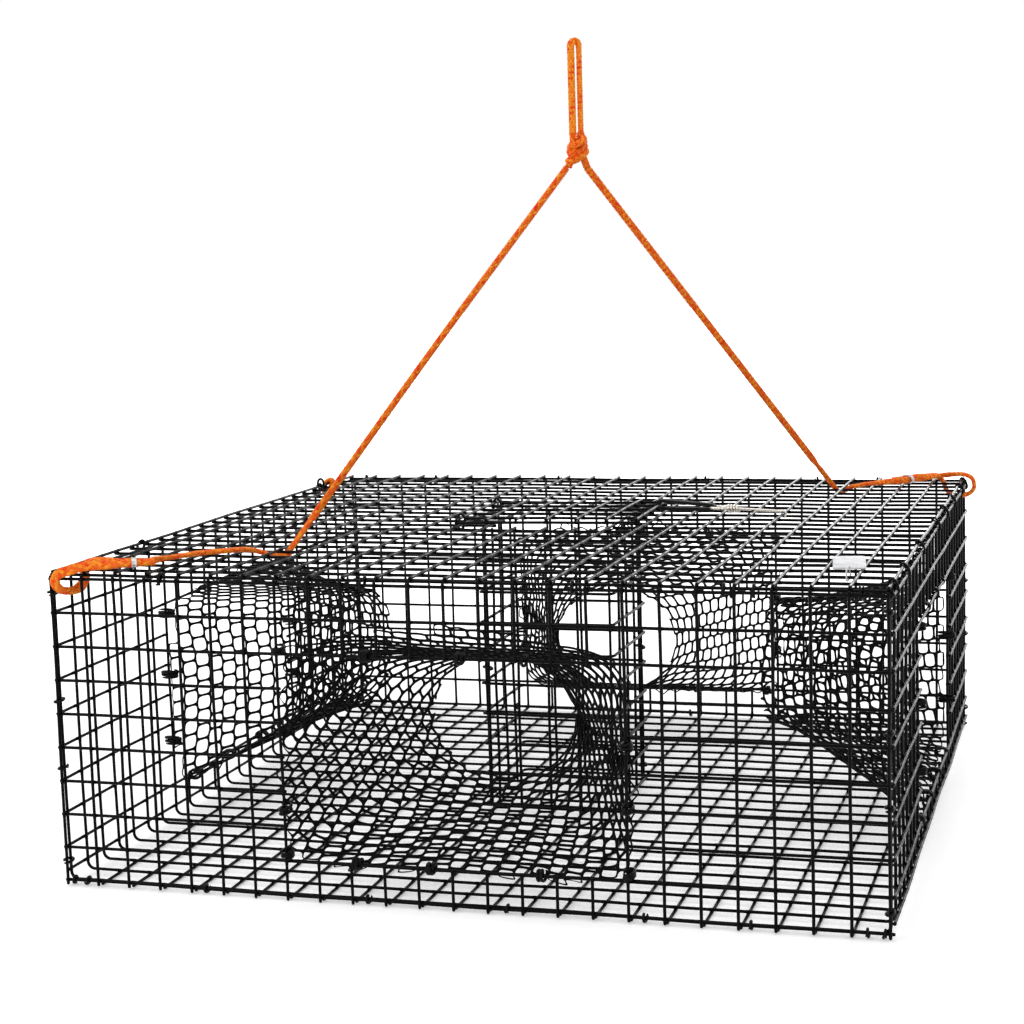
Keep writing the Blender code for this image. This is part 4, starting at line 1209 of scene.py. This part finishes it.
# %% Strap and hook sizes
STRAP_PLACE = 0.042
STRAP_STRIPS = 4
STRAP_EDGE = 0.0004
STRAP_LENGTH = 0.043
STRAP_WIDTH = 0.008
STRAP_THICKNESS = 0.0016
STRAP_NEAR_RADIUS = 0.0045
HOOK_RADIUS = 0.0012
HOOK_DIP = 0.0045
HOOK_LINE = 7
EYE_LENGTH = 0.014
STRAP_FAR_RADIUS = HOOK_RADIUS + CLEAR + STRAP_THICKNESS + 0.0001
strap_axis = Vector((LID_AXIS.x + LID_WIDTH * math.cos(LID_TILT), STRAP_PLACE,
                     LID_AXIS.z + LID_WIDTH * math.sin(LID_TILT)))
hook_rest = TOP_FACE + CLEAR + HOOK_RADIUS + HALF_WIRE / 8
hook_span = HOOK_LINE * PITCH - strap_axis.x
strap_slope = math.asin((strap_axis.z - hook_rest) / hook_span)
strap_place = Matrix.Translation(strap_axis) @ Matrix.Rotation(strap_slope, 4, "Y")

# %% Strap material and mesh
STRAP_WALL = 0.0026
RUBBER_GRAIN = 0.0009

cut_rubber, tree, shader, place = finish_of("cut_tube_rubber", 0.62, Specular_IOR_Level=0.15)
grain = add(tree, "ShaderNodeTexNoise", {"Vector": place.outputs["Object"], "Scale": 1 / RUBBER_GRAIN,
                                         "Detail": 4})
dress(tree, shader, grain.outputs["Fac"], "#0a0909", "#1d1b1a", relief=0.0001)


def loop_outline(near_radius, far_radius, length, facets):
    """The line round two circles on the X axis, one at the origin and one at length."""
    lean = math.asin((near_radius - far_radius) / length)
    found = []
    for centre, radius, start, sweep in ((0, near_radius, math.pi / 2 - lean, math.pi + 2 * lean),
                                         (length, far_radius, -math.pi / 2 + lean, math.pi - 2 * lean)):
        for k in range(facets + 1):
            angle = start + sweep * k / facets
            found.append(Vector((centre + radius * math.cos(angle), 0, radius * math.sin(angle))))
    return found


outline = loop_outline(STRAP_NEAR_RADIUS, STRAP_FAR_RADIUS, STRAP_LENGTH, 14)
bm = bmesh.new()
line = [bm.verts.new(point) for point in outline]
edges = [bm.edges.new(pair) for pair in zip(line, line[1:] + line[:1])]
for k in range(STRAP_STRIPS):
    made = bmesh.ops.extrude_edge_only(bm, edges=edges)
    moved = [item for item in made["geom"] if isinstance(item, bmesh.types.BMVert)]
    edges = [item for item in made["geom"] if isinstance(item, bmesh.types.BMEdge) and item.is_boundary]
    bmesh.ops.translate(bm, vec=(0, STRAP_WIDTH / STRAP_STRIPS, 0), verts=moved)
bmesh.ops.translate(bm, vec=(0, -STRAP_WIDTH / 2, 0), verts=bm.verts)
bmesh.ops.recalc_face_normals(bm, faces=bm.faces)
bmesh.ops.solidify(bm, geom=bm.faces[:], thickness=STRAP_WALL)
bmesh.ops.recalc_face_normals(bm, faces=bm.faces)
bmesh.ops.transform(bm, matrix=strap_place, verts=bm.verts)
strap = show("lid_strap_rubber", bm, cut_rubber, "strap", ["lid_strap"], crease=50)
bevel = strap.modifiers.new("worn_edges", "BEVEL")
bevel.width = STRAP_EDGE
bevel.segments = 2
bevel.limit_method = "ANGLE"

# %% Hook material and mesh
DRAW_MARK = 0.0008
bright_wire, tree, shader, place = finish_of("drawn_stainless_wire", 0.24, 1.0)
marks = add(tree, "ShaderNodeTexNoise", {"Vector": place.outputs["Object"], "Scale": 1 / DRAW_MARK})
dress(tree, shader, marks.outputs["Fac"], "#b9b1a4", "#f0ece4")

HOOK_STEP = 0.0012
HOOK_SIDES = 12
WIND_TURNS = 4
WIND_SIDES = 16


def bar_along(bm, points, radius, sides):
    """A round bar along points, its frame carried along without twist."""
    rings = []
    up = Vector((0, 0, 1))
    for k, point in enumerate(points):
        lie = direction_at(points, k)
        if abs(lie.dot(up)) > 0.99:
            up = lie.orthogonal()
        across = up.cross(lie).normalized()
        up = lie.cross(across).normalized()
        size = radius * (0.6 if k in (0, len(points) - 1) else 1)
        rings.append((point, across * size, up * size))
    roll_bar(bm, rings, sides)


eye = STRAP_WIDTH / 2 + CLEAR + HOOK_RADIUS + 0.0003
start, end = STRAP_LENGTH, STRAP_LENGTH + EYE_LENGTH
tip = (hook_span + (HALF_WIRE + CLEAR + HOOK_RADIUS) / math.cos(strap_slope)
       + HOOK_DIP * math.tan(strap_slope))
hook_line = [Vector(p) for p in (
    (end, eye / 2, 0), (end - EYE_LENGTH / 3, eye, 0), (start + EYE_LENGTH / 6, eye, 0),
    (start, eye * 0.85, 0), (start, -eye * 0.85, 0), (start + EYE_LENGTH / 6, -eye, 0),
    (end - EYE_LENGTH / 3, -eye, 0), (end, -eye / 3, 0), (end + EYE_LENGTH / 4, 0, 0),
    (hook_span - WIRE, 0, 0), (tip - HOOK_RADIUS / 2, 0, 0), (tip, 0, -HOOK_RADIUS * 0.6),
    (tip, 0, -HOOK_DIP))]
bm = bmesh.new()
bar_along(bm, smooth(hook_line, HOOK_STEP), HOOK_RADIUS, HOOK_SIDES)
winding = []
for k in range(WIND_TURNS * WIND_SIDES + 1):
    angle = 2 * math.pi * k / WIND_SIDES
    winding.append(Vector((end - 0.001 + WIND_TURNS * HOOK_RADIUS * 2 * k / (WIND_TURNS * WIND_SIDES),
                           HOOK_RADIUS * 2 * math.cos(angle), HOOK_RADIUS * 2 * math.sin(angle))))
bar_along(bm, winding, HOOK_RADIUS * 0.95, HOOK_SIDES)
close_seams(bm)
bmesh.ops.transform(bm, matrix=strap_place, verts=bm.verts)
show("lid_hook_wire", bm, bright_wire, "strap", ["lid_hook"], crease=60)

# %% [markdown]
# ## Tag and tie
# A blank plastic tag is tied to a wire at the front right. It is moulded, so its corners and edges
# are round. A cube is scaled to size, its upright edges are bevelled for the corners and its rims
# for the edges, and the tie is a round bar through the hole and under the wire.

# %% Tag
TAG_SIZE = Vector((0.0229, 0.0546, 0.001))
TAG_TURN = math.radians(8)
TAG_CORNER = 0.003
TAG_EDGE = 0.0003
TAG_HOLE_INSET = 0.005
TAG_WIRE = -10 * PITCH
TAG_PLACE = Vector((HALF - 0.0343, TAG_WIRE + 0.016, TOP_FACE + CLEAR))
TAG_STAIN = 0.011
TIE_RADIUS = 0.0006

moulded_tag, tree, shader, place = finish_of("moulded_polyethylene", 0.5, Specular_IOR_Level=0.15)
stain = add(tree, "ShaderNodeTexNoise", {"Vector": place.outputs["Object"], "Scale": 1 / TAG_STAIN,
                                         "Detail": 5})
dress(tree, shader, stain.outputs["Fac"], "#c6c7c9", "#dbdbde", relief=0.0002)

bm = bmesh.new()
bmesh.ops.create_cube(bm, size=1)
bmesh.ops.scale(bm, vec=TAG_SIZE, verts=bm.verts)
corners = [edge for edge in bm.edges if abs(edge.verts[0].co.z - edge.verts[1].co.z) > TAG_SIZE.z / 2]
bmesh.ops.bevel(bm, geom=corners, offset=TAG_CORNER, segments=6, profile=0.5, affect="EDGES", material=-1)
bmesh.ops.translate(bm, vec=(0, TAG_SIZE.y / 2 - TAG_HOLE_INSET, TAG_SIZE.z / 2), verts=bm.verts)
rims = [edge for edge in bm.edges if abs(edge.verts[0].co.z - edge.verts[1].co.z) < 1e-6]
bmesh.ops.bevel(bm, geom=rims, offset=TAG_EDGE, segments=2, profile=0.5, affect="EDGES", material=-1)
bmesh.ops.transform(bm, matrix=Matrix.Translation(TAG_PLACE) @ Matrix.Rotation(TAG_TURN, 4, "Z"),
                    verts=bm.verts)
show("tag_plate", bm, moulded_tag, "tag", ["tag"], crease=50)

# %% Tie
TIE_STEPS = 32
TIE_SHIFT = 0.0006

below = TOP_X_WIRE - HALF_WIRE * math.sqrt(2) - CLEAR - TIE_RADIUS
above = TAG_PLACE.z + TAG_SIZE.z + CLEAR + TIE_RADIUS + 0.0001
tie_front = TAG_WIRE - HALF_WIRE * math.sqrt(2) - CLEAR - TIE_RADIUS
tie_middle = Vector((TAG_PLACE.x, (TAG_PLACE.y + tie_front) / 2, (above + below) / 2))
half_long, half_high = (TAG_PLACE.y - tie_front) / 2, (above - below) / 2
tie_line = []
for k in range(TIE_STEPS + 1):
    angle = 2 * math.pi * k / TIE_STEPS
    c, s = math.cos(angle), math.sin(angle)
    tie_line.append(tie_middle + Vector((TIE_SHIFT * k / TIE_STEPS,
                                         half_long * math.copysign(abs(c) ** 0.5, c),
                                         half_high * math.copysign(abs(s) ** 0.6, s))))
bm = bmesh.new()
bar_along(bm, tie_line, TIE_RADIUS, 10)
close_seams(bm)
show("tag_tie_cord", bm, moulded_tag, "tag", ["tag_tie"], crease=60)

# %% [markdown]
# ## The cord and the ring at the rear left
# A short piece of the same orange cord is tied round the left edge near the rear corner, with a loose
# ring beside it. The cord is two close turns with crossed ends, which is how a quick hitch looks.

# %% Cord tie and edge ring
TIE_TURNS = 2.3
TIE_POINTS = 40
TIE_STANDOFF = 0.0022
TIE_LEAD = 0.0042
TIE_SIZE = 0.72

tie_y = 9.5 * PITCH
edge_low, edge_high = Vector((-HALF - WIRE, tie_y, RIM)), Vector((-HALF, tie_y, TOP_Y_WIRE))
edge_middle = (edge_low + edge_high) / 2
lean = (edge_high - edge_low).normalized()
flank = Vector((0, 1, 0)).cross(lean)
half_long = (edge_high - edge_low).length / 2 + HALF_WIRE + CLEAR + TIE_STANDOFF
half_high = HALF_WIRE + CLEAR + TIE_STANDOFF
tie_route = []
for k in range(TIE_POINTS + 1):
    u = k / TIE_POINTS
    angle = 2 * math.pi * TIE_TURNS * u + 1.0
    grow = 1 + 0.12 * abs(2 * u - 1) ** 6
    tie_route.append(edge_middle + lean * (half_long * grow * math.cos(angle))
                     + flank * (half_high * grow * math.sin(angle))
                     + Vector((0, TIE_LEAD * (u - 0.5) * TIE_TURNS, 0)))


def tie_facing(point):
    away = point - edge_middle
    return Vector((away.x, 0, away.z))


bm = new_braid()
braid(bm, flat_frames(smooth(tie_route, BRAID_STEP), tie_facing), 21, lambda point: TIE_SIZE)
show_rope("cord_tie_braid", bm, "cord_tie")
ring_y = 8.6 * PITCH
replace_ring("edge_ring", ((-HALF, ring_y, TOP_Y_WIRE), (-HALF, ring_y, TOP_Y_WIRE + 0.004), (0, 1, 0),
                           2.0, LOOSE))

# %% [markdown]
# ## Floor and light
# The trap stands on a white table in even light. The floor is one large flat grid, so that it has no
# edge in view. It glows for the camera and for reflections, which makes it white without more light on
# the trap, and less so near the trap, so that it still takes a shadow. A large soft lamp hangs above
# and a low strip stands behind, because the top's wires shine along their length. A fill lamp in front
# and the world light the rest.

# %% Floor
FLOOR_HALF = 12
FLOOR_DROP = 0.0004
NEAR_GLOW = 0.37
FADE_START, FADE_END = 0.5, 1.5

floor_paint, tree, shader, place = finish_of("matt_white_table", 0.8)
shader.inputs["Base Color"].default_value = linear("#f6f6f6")
away = add(tree, "ShaderNodeVectorMath", {0: place.outputs["Object"]}, operation="LENGTH")
faded = add(tree, "ShaderNodeMapRange", {"Value": away.outputs["Value"], "From Min": FADE_START,
                                         "From Max": FADE_END, "To Min": NEAR_GLOW, "To Max": 1.0})
glow = add(tree, "ShaderNodeMath", {0: for_the_eye(tree), 1: faded.outputs["Result"]},
           operation="MULTIPLY")
shader.inputs["Emission Color"].default_value = (1, 1, 1, 1)
tree.links.new(glow.outputs["Value"], shader.inputs["Emission Strength"])
bm = bmesh.new()
bmesh.ops.create_grid(bm, x_segments=8, y_segments=8, size=FLOOR_HALF)
bmesh.ops.translate(bm, vec=(0, 0, -FLOOR_DROP), verts=bm.verts)
mesh = bpy.data.meshes.new("floor")
bm.to_mesh(mesh)
bm.free()
mesh.materials.append(floor_paint)
floor = bpy.data.objects.new("floor", mesh)
bpy.context.scene.collection.objects.link(floor)

# %% World and lamps
FILL = 0.75

world = bpy.data.worlds.new("studio")
bpy.context.scene.world = world
world.use_nodes = True
tree = world.node_tree
background = tree.nodes["Background"]
background.inputs["Color"].default_value = (1, 1, 1, 1)
level = add(tree, "ShaderNodeMapRange", {"Value": for_the_eye(tree), "To Min": FILL, "To Max": 1.0})
tree.links.new(level.outputs["Result"], background.inputs["Strength"])


def soft_lamp(name, place, aim, size, power):
    lamp = bpy.data.lights.new(name, "AREA")
    lamp.shape = "RECTANGLE"
    lamp.size, lamp.size_y = size
    lamp.energy = power
    made = bpy.data.objects.new(name, lamp)
    made.location = place
    made.rotation_euler = (Vector(aim) - Vector(place)).to_track_quat("-Z", "Y").to_euler()
    bpy.context.scene.collection.objects.link(made)


soft_lamp("overhead", (-0.3, 0.5, 2.3), (0, 0, 0.1), (2.4, 1.6), 12)
soft_lamp("front_fill", (-1.6, -2.2, 1.8), (0, 0, 0.1), (1.6, 1.6), 18)
soft_lamp("back_strip", (0.4, 3.0, 0.8), (0.1, 0, 0.24), (1.5, 0.45), 14)

bpy.context.scene.view_settings.view_transform = "Standard"
